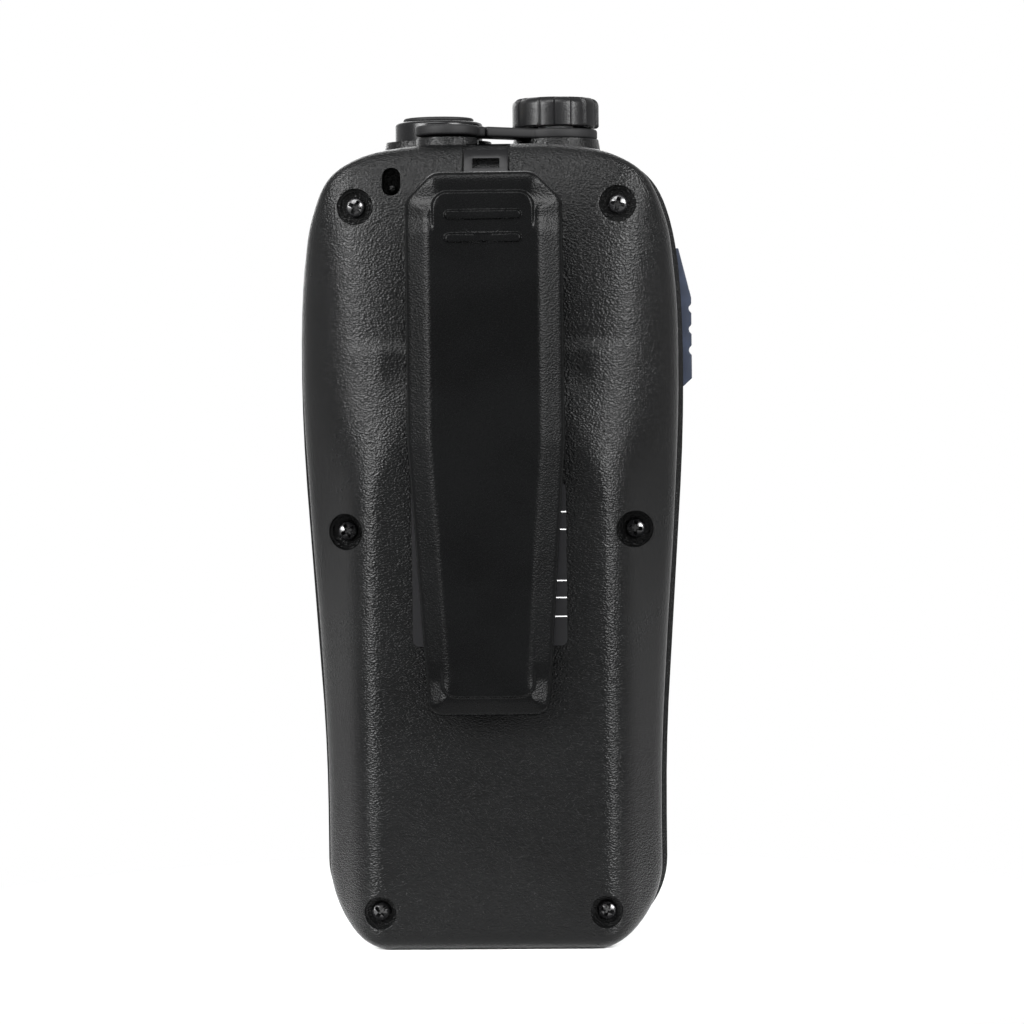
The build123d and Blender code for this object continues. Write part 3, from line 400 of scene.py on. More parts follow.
@dataclass(frozen=True)
class DisplayLens(Finish):
    """Clear plastic whose border is printed black around the display's window."""

    middle: Place = (0.0, 99.5)
    window: Place = (18.0, 10.2)
    corner: float = 1.2
    soft: float = 0.05
    black: Colour = (0.006, 0.006, 0.007)
    tint: Colour = (0.55, 0.6, 0.6)
    clear: float = 0.18

    def dress(self, tree: ShaderTree) -> None:
        """Sets the shader.

        Args:
            tree: The material's tree.
        """
        wide, tall = (
            ((axis - middle).size() - (half - self.corner)).most(0.0)
            for axis, middle, half in zip(tree.across_and_up(), self.middle, self.window)
        )
        away = (wide * wide + tall * tall) ** 0.5
        border = away.between(self.corner - self.soft, self.corner + self.soft)
        smears = tree.noise(tree.place(), scale=0.15, detail=3.0)
        tree.set(
            Base_Color=tree.mix(border, self.tint, self.black),
            Roughness=0.05 + smears.between(0.45, 0.8) * 0.06,
            Alpha=border * (1 - self.clear) + self.clear,
        )


@dataclass(frozen=True)
class LabelFilm(Finish):
    """Satin black film with thin pale rules printed across it."""

    colour: Colour = (0.004, 0.004, 0.0045)
    ink: Colour = (0.55, 0.55, 0.55)
    rules: tuple[float, ...] = (72.4, 69.5, 61.1, 58.3, 55.2)
    reach: float = 13.0
    end: float = 6.0
    half: float = 0.085
    soft: float = 0.02

    def dress(self, tree: ShaderTree) -> None:
        """Sets the shader.

        Args:
            tree: The material's tree.
        """
        across, up = tree.across_and_up()
        printed = 0.0
        for height in self.rules:
            away = (up - height).size().between(self.half - self.soft, self.half + self.soft)
            printed = (1 - away).most(printed)
        printed = printed * (1 - across.above(self.end)) * across.above(-self.reach)
        fine = tree.noise(tree.place(), scale=3.0, detail=3.0)
        tree.set(
            Base_Color=tree.mix(printed, self.colour, self.ink),
            Roughness=0.26 + fine * 0.08,
            Specular_IOR_Level=0.2,
            Normal=tree.relief(fine, 0.002),
        )


class Finishes:
    """All materials, by the record's slot."""

    deep_black: Colour = (0.002, 0.002, 0.0022)

    def __init__(self) -> None:
        """Builds one material for each slot of the record."""
        black = self.deep_black
        made = (
            GrainedPlastic("case_plastic", (0.0012, 0.00125, 0.0013), 0.24, 0.3, depth=0.12, gloss=0.105),
            GrainedPlastic("clip_plastic", (0.0009, 0.00095, 0.001), 0.27, 0.28, depth=0.04, gloss=0.05),
            SmoothPlastic("bracket_black", black, 0.3, gloss=0.09),
            GrainedPlastic("knob_plastic", black, 0.32, 0.35, depth=0.02, gloss=0.14),
            Rubber("black_rubber", black),
            SmoothPlastic("port_plastic", black, 0.24, gloss=0.14),
            Rubber("blue_rubber", (0.0075, 0.0105, 0.019)),
            SmoothPlastic("screw_black", (0.004, 0.004, 0.0043), 0.26, gloss=0.55),
            Metal("steel", (0.56, 0.56, 0.57), 0.3),
            Metal("brass", (0.78, 0.6, 0.28), 0.26),
            SmoothPlastic("white_plastic", (0.78, 0.77, 0.73), 0.5),
            SmoothPlastic("board_green", (0.015, 0.12, 0.05), 0.3),
            SmoothPlastic("chip_black", (0.02, 0.02, 0.021), 0.45),
            Metal("frame_metal", (0.6, 0.61, 0.62), 0.42),
            SmoothPlastic("battery_sleeve", (0.03, 0.14, 0.42), 0.3),
            DisplayLens("lens_clear"),
            SmoothPlastic("lcd_glass", (0.30, 0.34, 0.27), 0.25),
            SmoothPlastic("cone_black", (0.02, 0.02, 0.02), 0.6),
            Rubber("key_rubber", (0.06, 0.062, 0.065)),
            LabelFilm("label_film"),
        )
        self.by_slot = {finish.name: finish.build() for finish in made}

    def dress_frame(self) -> None:
        """Gives every CAD node the material of its slot."""
        for node, slot in SLOTS.items():
            materials = frame["nodes"][node].data.materials
            materials.clear()
            materials.append(self.by_slot[slot])


# ---- Modelling ----


class Axis(Enum):
    """Directions that a profile is spun around."""

    DEPTH = (0, 1, 0)
    UP = (0, 0, 1)


class Mitre(Enum):
    """How a rounding goes round a corner, by Blender's names."""

    SHARP = "SHARP"
    ARC = "ARC"


class Zone(IntEnum):
    """What the faces of a loop surface belong to; features are numbered upwards from theirs."""

    HIDDEN = -100        # features of the hollow
    INSIDE = -10         # the hollow
    WALL = 0
    OUTSIDE = 1
    FEATURE = 10         # features of the outside
    FLOOR = 100          # their floors


def eased(start: float, end: float, value: float, low: float, high: float) -> float:
    """Goes smoothly from start to end while a value goes from low to high.

    Args:
        start: Result at or below low.
        end: Result at or above high.
        value: The value that drives the change.
        low: Where the change begins.
        high: Where it ends.

    Returns:
        The eased result.
    """
    share = min(max((value - low) / (high - low), 0.0), 1.0)
    return start + (end - start) * share * share * (3 - 2 * share)


def soft_least(first: float, second: float, blend: float) -> float:
    """The smaller of two heights, rounded over a blend width where they cross."""
    gap = max(blend - abs(first - second), 0.0) / blend
    return min(first, second) - gap * gap * blend / 4


def fall(radius: float, past: float) -> float:
    """How far a quarter round has dropped, some way past its start."""
    past = max(past, 0.0)
    return radius - math.sqrt(max(radius**2 - past * past, 0.0))


def slot_field(x: float, z: float, half_width: float, half_height: float, corner: float) -> float:
    """Signed distance to a rounded rectangle around the origin, negative inside.

    Args:
        x: Place across.
        z: Place up.
        half_width: Half its width.
        half_height: Half its height.
        corner: Radius of its corners.

    Returns:
        The distance.
    """
    across, up = abs(x) - half_width + corner, abs(z) - half_height + corner
    outside = math.hypot(max(across, 0.0), max(up, 0.0))
    return outside + min(max(across, up), 0.0) - corner


def smooth_path(points: list[Place], start: Place, end: Place, step: float) -> list[Place]:
    """Smooth curve through some points.

    Args:
        points: The points, in order.
        start: Direction at the first point.
        end: Direction at the last point.
        step: Spacing of the result.

    Returns:
        Points along the curve, without the last one.
    """
    knots = [Vector(point) for point in points]
    spans = [(b - a).length for a, b in zip(knots, knots[1:])]
    slopes = [Vector(start)]
    for before, here, after, low, high in zip(knots, knots[1:], knots[2:], spans, spans[1:]):
        slopes.append(((here - before) / low * high + (after - here) / high * low) / (low + high))
    slopes.append(Vector(end))
    path = []
    for a, b, leave, arrive, span in zip(knots, knots[1:], slopes, slopes[1:], spans):
        third = span / 3
        count = max(round(span / step), 1)
        curve = interpolate_bezier(a, a + leave * third, b - arrive * third, b, count + 1)
        path += [tuple(point) for point in curve[:-1]]
    return path


def mirrored(half: list[Place]) -> list[Place]:
    """Closes a half outline that runs from the bottom middle to the top middle on the +X side."""
    return half + [(-x, z) for x, z in reversed(half[1:-1])]


def once(items: Iterable[object]) -> list[object]:
    """The items without repeats, in their order."""
    return list(dict.fromkeys(items))


def corners(faces: Iterable[bmesh.types.BMFace]) -> Verts:
    """All vertices of some faces."""
    return once(vert for face in faces for vert in face.verts)


def of_kind(items: list[object], kind: type) -> list[object]:
    """The items of one kind among an operator's results."""
    return [item for item in items if isinstance(item, kind)]


def placed(name: str, data: bpy.types.ID) -> bpy.types.Object:
    """Adds an object to the scene.

    Args:
        name: Its name.
        data: Its mesh, light or camera.

    Returns:
        The object.
    """
    made = bpy.data.objects.new(name, data)
    bpy.context.scene.collection.objects.link(made)
    return made


@dataclass(frozen=True)
class Tag:
    """What a finished piece is called, what it stands for and how it is shaded.

    Attributes:
        name: The object's name.
        slot: The record's slot that it takes its finish from.
        nodes: CAD nodes that it replaces.
        body: The body that it rides on.
        sharp: Turn in degrees above which an edge is drawn sharp.
        flat: Whether large faces stay flat beside their rounded edges.
    """

    name: str
    slot: str
    nodes: tuple[str, ...]
    body: str = "root"
    sharp: float = 42.0
    flat: bool = False


class Piece:
    """A mesh under construction, in millimetres."""

    weld = 0.0005        # distance below which spun vertices are one

    def __init__(self) -> None:
        """Starts an empty mesh."""
        self.mesh = bmesh.new()

    def adopt(self, node: str, merge: float = 0.002, flat: float = 0.6) -> None:
        """Takes in a copy of a CAD node's mesh, with its doubles merged and its flats dissolved.

        Args:
            node: The node.
            merge: Distance below which vertices are one.
            flat: Turn in degrees below which two faces are one.
        """
        source = frame["nodes"][node]
        mesh = self.mesh
        mesh.from_mesh(source.data)
        mesh.transform(source.matrix_world)
        bmesh.ops.scale(mesh, vec=(1 / MM,) * 3, verts=mesh.verts)
        bmesh.ops.remove_doubles(mesh, verts=mesh.verts, dist=merge)
        bmesh.ops.dissolve_limit(mesh, angle_limit=math.radians(flat), verts=mesh.verts, edges=mesh.edges)

    def absorb(self, other: "Piece") -> None:
        """Takes in another piece's mesh.

        Args:
            other: The other piece, which ends here.
        """
        data = bpy.data.meshes.new("part")
        other.mesh.to_mesh(data)
        other.mesh.free()
        self.mesh.from_mesh(data)
        bpy.data.meshes.remove(data)

    def bevel(
        self, edges: list[bmesh.types.BMEdge], width: float, segments: int, mitre: Mitre = Mitre.SHARP
    ) -> None:
        """Rounds some edges.

        Args:
            edges: The edges.
            width: Width of the rounding.
            segments: Strips in the rounding.
            mitre: How it goes round outer corners.
        """
        bmesh.ops.bevel(
            self.mesh, geom=edges, offset=width, offset_type="OFFSET", affect="EDGES",
            segments=segments, profile=0.5, clamp_overlap=True, material=-1, miter_outer=mitre.value,
        )

    def soften(self, width: float, angle: float = 35.0, segments: int = 2) -> None:
        """Rounds every edge that is sharper than an angle.

        Args:
            width: Width of the rounding.
            angle: Smallest turn that counts as an edge, in degrees.
            segments: Strips in the rounding.
        """
        limit = math.radians(angle)
        edges = [e for e in self.mesh.edges if e.is_manifold and e.calc_face_angle() > limit]
        self.bevel(edges, width, segments, Mitre.ARC)

    def lathe(self, profile: list[Place], centre: Point, axis: Axis = Axis.UP, steps: int = 72) -> Verts:
        """Spins a closed profile of (radius, height) into a solid.

        Args:
            profile: Corners in order; ends on the axis are closed by merging.
            centre: Where radius and height are zero.
            axis: The axis to spin around.
            steps: Facets in a turn.

        Returns:
            The new vertices.
        """
        along, out, middle = Vector(axis.value), Vector((1, 0, 0)), Vector(centre)
        row = [self.mesh.verts.new(middle + out * r + along * h) for r, h in profile]
        geom = row + [self.mesh.edges.new(pair) for pair in zip(row, row[1:])]
        before = set(self.mesh.faces)
        bmesh.ops.spin(
            self.mesh, geom=geom, cent=middle, axis=along, angle=math.tau, steps=steps, use_merge=True
        )
        verts = corners(face for face in self.mesh.faces if face not in before)
        bmesh.ops.remove_doubles(self.mesh, verts=verts, dist=self.weld)
        faces = [face for face in self.mesh.faces if face not in before]
        bmesh.ops.recalc_face_normals(self.mesh, faces=faces)
        return corners(faces)

    def block(self, middle: Point, size: Point, corner: float) -> Verts:
        """Adds a box whose edges are rounded.

        Args:
            middle: Its centre.
            size: Its width, depth and height.
            corner: Radius of its edges.

        Returns:
            The new vertices.
        """
        before = set(self.mesh.verts)
        made = bmesh.ops.create_cube(self.mesh, size=1.0)["verts"]
        bmesh.ops.scale(self.mesh, vec=size, verts=made)
        bmesh.ops.translate(self.mesh, vec=middle, verts=made)
        self.bevel(once(edge for vert in made for edge in vert.link_edges), corner, 3)
        return [vert for vert in self.mesh.verts if vert not in before]

    def _sort(self) -> None:
        """Puts the mesh in order of place, since operators don't give the same order in each run."""
        keys = (
            (self.mesh.verts, lambda vert: tuple(vert.co)),
            (self.mesh.edges, lambda edge: sorted(vert.index for vert in edge.verts)),
            (self.mesh.faces, lambda face: sorted(vert.index for vert in face.verts)),
        )
        for items, key in keys:
            for number, item in enumerate(sorted(items, key=key)):
                item.index = number
            items.sort(key=lambda item: item.index)
            items.index_update()

    def finish(self, tag: Tag, material: bpy.types.Material) -> bpy.types.Object:
        """Turns the mesh into an object of the scene.

        Args:
            tag: What the piece is called and stands for.
            material: Its material.

        Returns:
            The object.
        """
        limit = math.radians(tag.sharp)
        bmesh.ops.scale(self.mesh, vec=(MM,) * 3, verts=self.mesh.verts)
        self._sort()
        for face in self.mesh.faces:
            face.smooth = True
        for edge in self.mesh.edges:
            edge.smooth = not edge.is_manifold or edge.calc_face_angle() < limit
        data = bpy.data.meshes.new(tag.name)
        self.mesh.to_mesh(data)
        self.mesh.free()
        data.materials.append(material)
        piece = placed(tag.name, data)
        if tag.flat:
            self._keep_flat(piece)
        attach(piece, tag.body)
        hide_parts(*tag.nodes)
        LOG.info("%s: %d faces on %s", tag.name, len(data.polygons), tag.body)
        return piece

    @staticmethod
    def _keep_flat(piece: bpy.types.Object) -> None:
        """Turns the normals towards the larger faces, and keeps the result in the mesh.

        Args:
            piece: The object.
        """
        modifier = piece.modifiers.new("weights", "WEIGHTED_NORMAL")
        modifier.keep_sharp = True
        graph = bpy.context.evaluated_depsgraph_get()
        data = bpy.data.meshes.new_from_object(piece.evaluated_get(graph), depsgraph=graph)
        data.name = piece.name
        piece.modifiers.remove(modifier)
        piece.data = data


class SubAssembly:
    """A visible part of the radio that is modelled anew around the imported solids."""

    tag: Tag

    def model(self) -> Piece:
        """Models the part."""
        raise NotImplementedError

    def build(self, finishes: Finishes) -> bpy.types.Object:
        """Models the part and dresses it.

        Args:
            finishes: All materials.

        Returns:
            The finished piece.
        """
        return self.model().finish(self.tag, finishes.by_slot[self.tag.slot])


class LoopSurface(Piece):
    """A surface grown from a closed outline in the XZ plane, one row of faces at a time.

    Each point of the outline has a straight way inwards to the nearest point of an upright spine on the
    middle line. A row goes a share of that way, so the rows never cross and the last one closes.
    """

    seam = 0.02          # distance below which the last row meets itself
    tiny = 0.01          # step at which a field's slope is measured
    passes = 3           # moves of a point onto a contour

    def __init__(self, outline: list[Place], spine: Place, middle: float = 0.0, depth: float = 0.0) -> None:
        """Starts with the outline itself.

        Args:
            outline: Points of the closed outline.
            spine: Lower and upper end of the spine.
            middle: X of the spine.
            depth: Y of the outline.
        """
        super().__init__()
        self.zones = self.mesh.faces.layers.int.new("zone")
        self.ends = [Vector((middle, min(max(z, spine[0]), spine[1]))) for _, z in outline]
        self.starts = [Vector(point) for point in outline]
        self.tree = kdtree.KDTree(len(outline))
        for index, (x, z) in enumerate(outline):
            self.tree.insert((x, z, 0), index)
        self.tree.balance()
        self.row = [self.mesh.verts.new((x, depth, z)) for x, z in outline]
        self.edges = [self.mesh.edges.new(pair) for pair in zip(self.row, self.row[1:] + self.row[:1])]
        self.rim = self.row, self.edges

    def restart(self) -> None:
        """Goes back to the outline, to grow the other side from it."""
        self.row, self.edges = self.rim

    def edge_distance(self, x: float, z: float) -> float:
        """Distance from a point to the outline, measured square to its nearest stretch.

        Args:
            x: Place across.
            z: Place up.

        Returns:
            The distance.
        """
        _, index, _ = self.tree.find((x, z, 0))
        count = len(self.starts)
        here = self.starts[index]
        along = (self.starts[(index + 1) % count] - self.starts[index - 1]).normalized()
        off = Vector((x, z)) - here
        return abs(off.x * along.y - off.y * along.x)

    def grow(self, place: Callable[[Vector, Vector], Vector]) -> Faces:
        """Extrudes the open row of edges and places its points.

        Args:
            place: Gives a point's place from its start and its spine end.

        Returns:
            The new faces.
        """
        order = {vert: index for index, vert in enumerate(self.row)}
        made = bmesh.ops.extrude_edge_only(self.mesh, edges=self.edges)["geom"]
        links = {}
        for vert in of_kind(made, bmesh.types.BMVert):
            for edge in vert.link_edges:
                other = edge.other_vert(vert)
                if other in order:
                    links[order[other]] = vert
        self.row = [links[index] for index in range(len(order))]
        for vert, start, end in zip(self.row, self.starts, self.ends):
            vert.co = place(start, end)
        kept = set(self.row)
        self.edges = [edge for edge in of_kind(made, bmesh.types.BMEdge) if kept.issuperset(edge.verts)]
        return of_kind(made, bmesh.types.BMFace)

    def inward(self, share: float, depth: float = 0.0, start: float = 0.0) -> Faces:
        """Adds a row a share of the way to the spine, at one depth.

        Args:
            share: Share of the way, from 0 at the outline to 1 at the spine.
            depth: Its Y.
            start: Distance inwards at which the way begins.

        Returns:
            The new faces.
        """
        def place(outer: Vector, end: Vector) -> Vector:
            """A point on the way."""
            here = (outer + (end - outer).normalized() * start).lerp(end, share)
            return Vector((here.x, depth, here.y))

        return self.grow(place)

    def cover(
        self, shares: Iterable[float], zone: Zone = Zone.WALL, depth: float = 0.0, start: float = 0.0
    ) -> None:
        """Adds rows up to the spine and closes the surface there.

        Args:
            shares: The rows' shares of the way; the last one is 1.
            zone: Zone of the new faces.
            depth: Their Y.
            start: Distance inwards at which the way begins.
        """
        for share in shares:
            self.zone(self.inward(share, depth, start), zone)
        self.close()

    def close(self) -> None:
        """Merges the last row where it meets itself on the spine."""
        bmesh.ops.remove_doubles(self.mesh, verts=self.row, dist=self.seam)

    def zone(self, faces: Iterable[bmesh.types.BMFace], number: int) -> None:
        """Marks faces with the number of a zone."""
        for face in faces:
            face[self.zones] = number

    def zoned(self, number: int) -> Faces:
        """The faces of a zone."""
        return [face for face in self.mesh.faces if face[self.zones] == number]

    def refine(self, field: Field, reach: float, zone: int, cuts: int = 2) -> None:
        """Divides the edges near a contour.

        Args:
            field: Signed distance to the contour.
            reach: How far from it the edges are divided.
            zone: The zone that the edges belong to.
            cuts: Cuts in each edge.
        """
        edges = once(edge for face in self.zoned(zone) for edge in face.edges)
        near = [e for e in edges if all(abs(field(v.co.x, v.co.z)) < reach for v in e.verts)]
        bmesh.ops.subdivide_edges(self.mesh, edges=near, cuts=cuts, use_grid_fill=True)

    def cut(self, field: Field, zone: int, mark: int) -> None:
        """Moves the points nearest a contour onto it, and gives the faces inside it a zone of their own.

        Args:
            field: Signed distance to the contour.
            zone: The zone that is cut.
            mark: The zone of the faces inside the contour.
        """
        middles = {face: face.calc_center_median() for face in self.zoned(zone)}
        inside = [face for face, middle in middles.items() if field(middle.x, middle.z) < 0]
        held = set(inside)
        rim = once(
            vert for face in inside for edge in face.edges
            if any(other not in held for other in edge.link_faces) for vert in edge.verts
        )
        for vert in rim:
            for _ in range(self.passes):
                x, z, tiny = vert.co.x, vert.co.z, self.tiny
                here = field(x, z)
                slope = Vector((field(x + tiny, z) - here, field(x, z + tiny) - here)) / tiny
                if slope.length > 0.1:
                    vert.co.x -= slope.x * here / slope.length_squared
                    vert.co.z -= slope.y * here / slope.length_squared
        self.zone(inside, mark)

    def sink(self, faces: Faces, depth: float) -> Faces:
        """Pushes a region of faces to one depth and walls its edge.

        Args:
            faces: The region.
            depth: Its new Y.

        Returns:
            The region's faces, which are now its floor.
        """
        made = bmesh.ops.extrude_face_region(self.mesh, geom=faces)["geom"]
        fresh = of_kind(made, bmesh.types.BMVert)
        floor = of_kind(made, bmesh.types.BMFace)
        bmesh.ops.delete(self.mesh, geom=faces, context="FACES")
        for vert in fresh:
            vert.co.y = depth
        held = set(floor)
        self.zone((face for vert in fresh for face in vert.link_faces if face not in held), Zone.WALL)
        return floor


# ---- Case ----


@dataclass
class CaseOutline:
    """Outline of the two shells, seen from behind."""

    height: float = 133.4
    base_half: float = 28.75
    widest_half: float = 32.3
    widest_z: float = 96.0
    corner: float = 13.85
    corner_rise: float = 13.27
    spine: Place = (28.0, 103.0)
    side: tuple[Place, ...] = ((0.03, 0.2), (0.35, 0.46), (0.73, 0.7))
    shoulder: tuple[Place, ...] = ((0.5, 22.1), (2.1, 12.0), (5.4, 5.3), (11.0, 1.85), (17.2, 0.5))

    def loop(self, step: float, inset: float) -> list[Place]:
        """The closed outline.

        Args:
            step: Spacing of its points.
            inset: How far its sides stand inside the full width.

        Returns:
            Its points, from the bottom middle round by +X.
        """
        base, widest = self.base_half - inset, self.widest_half - inset
        rise, swell = self.widest_z - self.corner_rise, self.widest_half - self.base_half
        centre = base - self.corner
        foot = centre + math.sqrt(self.corner**2 - self.corner_rise**2)
        count = round(foot / step)
        half = [(foot * i / count, 0.0) for i in range(count)]
        turn = math.acos(self.corner_rise / self.corner)
        count = round((math.pi / 2 - turn) * self.corner / step)
        for i in range(count):
            angle = turn + (math.pi / 2 - turn) * i / count
            across, down = self.corner * math.sin(angle), self.corner * math.cos(angle)
            half.append((centre + across, self.corner_rise - down))
        side = [(base + a * swell, self.corner_rise + b * rise) for a, b in self.side]
        top = [(widest - across, self.height - down) for across, down in self.shoulder]
        bend = (widest, self.widest_z)
        half += smooth_path([(base, self.corner_rise), *side, bend], (0, 1), (0, 1), step)
        half += smooth_path([bend, *top, (0.0, self.height)], (0, 1), (-1, 0), step)
        return mirrored([(x, min(z, self.height)) for x, z in half] + [(0.0, self.height)])


@dataclass
class ScrewPlace:
    """One of the six case screws and its counterbore."""

    x: float
    z: float
    seat: float
    bore: float
    boss: float
    turn: float

    def field(self, radius: float) -> Field:
        """Signed distance to a circle around the screw."""
        return lambda x, z: math.hypot(x - self.x, z - self.z) - radius


SCREWS = (
    ScrewPlace(21.7, 123.0, seat=13.2, bore=3.05, boss=3.45, turn=0.5),
    ScrewPlace(-21.7, 123.0, seat=13.2, bore=3.05, boss=3.45, turn=0.2),
    ScrewPlace(24.0, 69.3, seat=8.8, bore=3.05, boss=4.2, turn=1.1),
    ScrewPlace(-24.0, 69.3, seat=8.8, bore=3.05, boss=4.2, turn=0.1),
    ScrewPlace(18.7, 6.4, seat=15.8, bore=2.7, boss=3.4, turn=0.7),
    ScrewPlace(-18.7, 6.4, seat=15.8, bore=2.7, boss=3.4, turn=0.3),
)


@dataclass
class RearShell(SubAssembly):
    """The rear half of the case: lobes down both sides, a flat narrow back and a domed top."""

    outline: CaseOutline
    depth: float = 19.0
    inset: float = 0.85
    wall: float = 2.0
    lower: tuple[float, float, float, float] = (17.4, 6.0, 21.1, 29.8)     # flat, lift, ridge and flank
    upper: tuple[float, float, float, float] = (7.5, 2.3, 18.0, 34.0)
    crease_run: Place = (74.0, 98.0)
    flank_run: Place = (40.0, 98.0)
    flank_end: float = 4.0
    dome_start: float = 100.0
    dome_rise: float = 33.9
    dome_depth: float = 9.0
    bottom_round: float = 2.5
    edge_round: float = 1.3
    crease_blend: float = 4.2
    channel_half: float = 17.2
    channel_run: Place = (91.0, 95.5)
    channel_depth: float = 0.8
    channel_ease: float = 1.0
    shares: tuple[float, ...] = (
        0.004, 0.012, 0.024, 0.042, 0.066, 0.094, 0.125, 0.158, 0.192, 0.226, 0.26, 0.294, 0.328, 0.362,
        0.396, 0.43, 0.464, 0.5, 0.54, 0.59, 0.65, 0.72, 0.8, 0.9, 1.0,
    )
    inner_shares: tuple[float, ...] = (
        0.05, 0.1, 0.15, 0.2, 0.25, 0.31, 0.37, 0.44, 0.52, 0.62, 0.74, 0.87, 1.0,
    )
    step: float = 1.1
    lip: float = 0.3
    lip_turn: float = 30.0
    lip_reach: float = 0.03
    ring_rise: float = 0.9
    ring_width: float = 0.5
    tab_half: float = 3.95
    tab_bottom: float = 110.7
    tab_depth: float = 1.6
    tab_weld: float = 0.01
    eye: tuple[float, float, float, float] = (15.65, 127.1, 3.1, 4.7)      # place, width and height
    eye_wall: float = 1.0
    eye_floor: float = 9.6
    peg: tuple[Place, ...] = ((0.0, 0.0), (0.75, 0.0), (0.75, 3.8), (0.55, 4.08), (0.3, 4.2), (0.0, 4.2))
    peg_drop: float = 1.1
    jack: Place = (6.8, 5.5)
    jack_boss: Point = (5.2, 122.1, 134.8)
    jack_recess: Place = (4.2, 1.4)
    jack_bore: float = 4.05

    tag = Tag("rear_shell", "case_plastic", ("rear_case",))

    def _flank(self, x: float, z: float) -> float:
        """Depth of the curve that runs from the back over the crease and down the side.

        Args:
            x: Distance from the middle line.
            z: Height.

        Returns:
            The depth.
        """
        runs = (self.crease_run,) * 3 + (self.flank_run,)
        flat, lift, ridge, flank = (eased(a, b, z, *run) for a, b, run in zip(self.lower, self.upper, runs))
        if x <= flat:
            return self.depth + lift
        first, second = Vector((flat, self.depth + lift)), Vector((ridge, self.depth))
        third = Vector((flank, self.flank_end))
        a, b = second - first, third - first
        turned = Vector((b.y, -b.x)) * a.length_squared - Vector((a.y, -a.x)) * b.length_squared
        centre = first + turned / (2 * (a.x * b.y - a.y * b.x))
        radius = (first - centre).length
        reach = math.sqrt(max(radius * radius - (x - centre.x) ** 2, 0.0))
        return centre.y + math.copysign(reach, self.depth - centre.y)

    def form(self, x: float, z: float) -> float:
        """Depth of the outside before its edges are rounded.

        Args:
            x: Place across.
            z: Height.

        Returns:
            The depth.
        """
        x = abs(x)
        depth = soft_least(self.depth, self._flank(x, z), self.crease_blend)
        if z > self.dome_start:
            share = min((z - self.dome_start) / self.dome_rise, 1.0)
            depth = soft_least(depth, self.depth - self.dome_depth * fall(1.0, share), self.crease_blend)
        depth -= fall(self.bottom_round, self.bottom_round - z)
        inside = eased(1.0, 0.0, x, self.channel_half - self.channel_ease, self.channel_half)
        inside *= eased(0.0, 1.0, z, *self.channel_run)
        floor = soft_least(depth, self.depth - self.channel_depth, self.channel_ease)
        return depth + (floor - depth) * inside

    def _inside(self, x: float, z: float) -> float:
        """Depth of the hollow's ceiling."""
        return self.form(abs(x) + self.wall / 2, z + self.wall / 2) - self.wall

    def _tab(self, x: float, z: float) -> float:
        """Signed distance to the slot of the clip's latch tab, which is open at the top."""
        return max(abs(x) - self.tab_half, self.tab_bottom - z)

    def _eye(self, grow: float = 0.0) -> Field:
        """Signed distance to the lanyard eye, or to a larger outline around it.

        Args:
            grow: How much larger the outline is.

        Returns:
            The distance as a function of place.
        """
        x, z, width, height = self.eye
        half = width / 2 + grow
        return lambda px, pz: slot_field(px - x, pz - z, half, height / 2 + grow, half - 0.05)

    def model(self) -> Piece:
        """Models the shell.

        Returns:
            The piece.
        """
        shell = LoopSurface(self.outline.loop(self.step, self.inset), self.outline.spine)
        shell.inward(0.0, self.flank_end)
        shell.cover(self.shares, Zone.OUTSIDE)
        shell.restart()
        shell.inward(0.0, 0.0, self.wall)
        shell.inward(0.0, self.flank_end, self.wall)
        shell.cover(self.inner_shares, Zone.INSIDE, start=self.wall)
        self._outside(shell)
        self._hollow(shell)
        bmesh.ops.recalc_face_normals(shell.mesh, faces=shell.mesh.faces)
        self._lips(shell)
        self._additions(shell)
        return shell

    def _outside(self, shell: LoopSurface) -> None:
        """Gives the outside its form and sinks the screw holes, the latch slot and the lanyard eye.

        Args:
            shell: The shell.
        """
        fields = [screw.field(screw.bore) for screw in SCREWS] + [self._eye(), self._tab]
        for field in fields:
            shell.refine(field, self.step, Zone.OUTSIDE)
        for number, field in enumerate(fields):
            shell.cut(field, Zone.OUTSIDE, Zone.FEATURE + number)
        self._drape_outside(shell)
        *holes, eye, slot = [Zone.FEATURE + number for number in range(len(fields))]
        for screw, hole in zip(SCREWS, holes):
            level = screw.seat + self.ring_rise
            floor = shell.sink(shell.sink(shell.zoned(hole), level), level)
            share = self.ring_width / screw.bore
            for vert in corners(floor):
                vert.co = vert.co.lerp(Vector((screw.x, level, screw.z)), share)
            shell.zone(shell.sink(floor, screw.seat), Zone.FLOOR)
        shell.zone(shell.sink(shell.zoned(eye), self.eye_floor), Zone.FLOOR)
        self._latch_slot(shell, shell.zoned(slot))

    def _drape_outside(self, shell: LoopSurface) -> None:
        """Sets the depth of the outside, rounded off towards the shell's edge.

        Args:
            shell: The shell.
        """
        for vert in corners(face for face in shell.mesh.faces if face[shell.zones] >= Zone.OUTSIDE):
            edge = self.edge_round - shell.edge_distance(vert.co.x, vert.co.z)
            vert.co.y = self.form(vert.co.x, vert.co.z) - fall(self.edge_round, edge)

    def _latch_slot(self, shell: LoopSurface, faces: Faces) -> None:
        """Sinks the latch slot by an even depth and opens its upper end.

        Args:
            shell: The shell.
            faces: The slot's faces.
        """
        top = self.outline.height - self.lip
        made = shell.sink(faces, 0.0)
        shell.zone(made, Zone.FLOOR)
        for vert in corners(made):
            vert.co.y = self.form(vert.co.x, vert.co.z) - self.tab_depth
        opened = [
            vert for vert in shell.mesh.verts
            if vert.co.z > top and abs(vert.co.x) < self.tab_half - 0.1 and vert.co.y > self.flank_end
        ]
        low = min((vert.co.y for vert in opened), default=0.0)
        for vert in opened:
            vert.co.y = low
        bmesh.ops.remove_doubles(shell.mesh, verts=opened, dist=self.tab_weld)

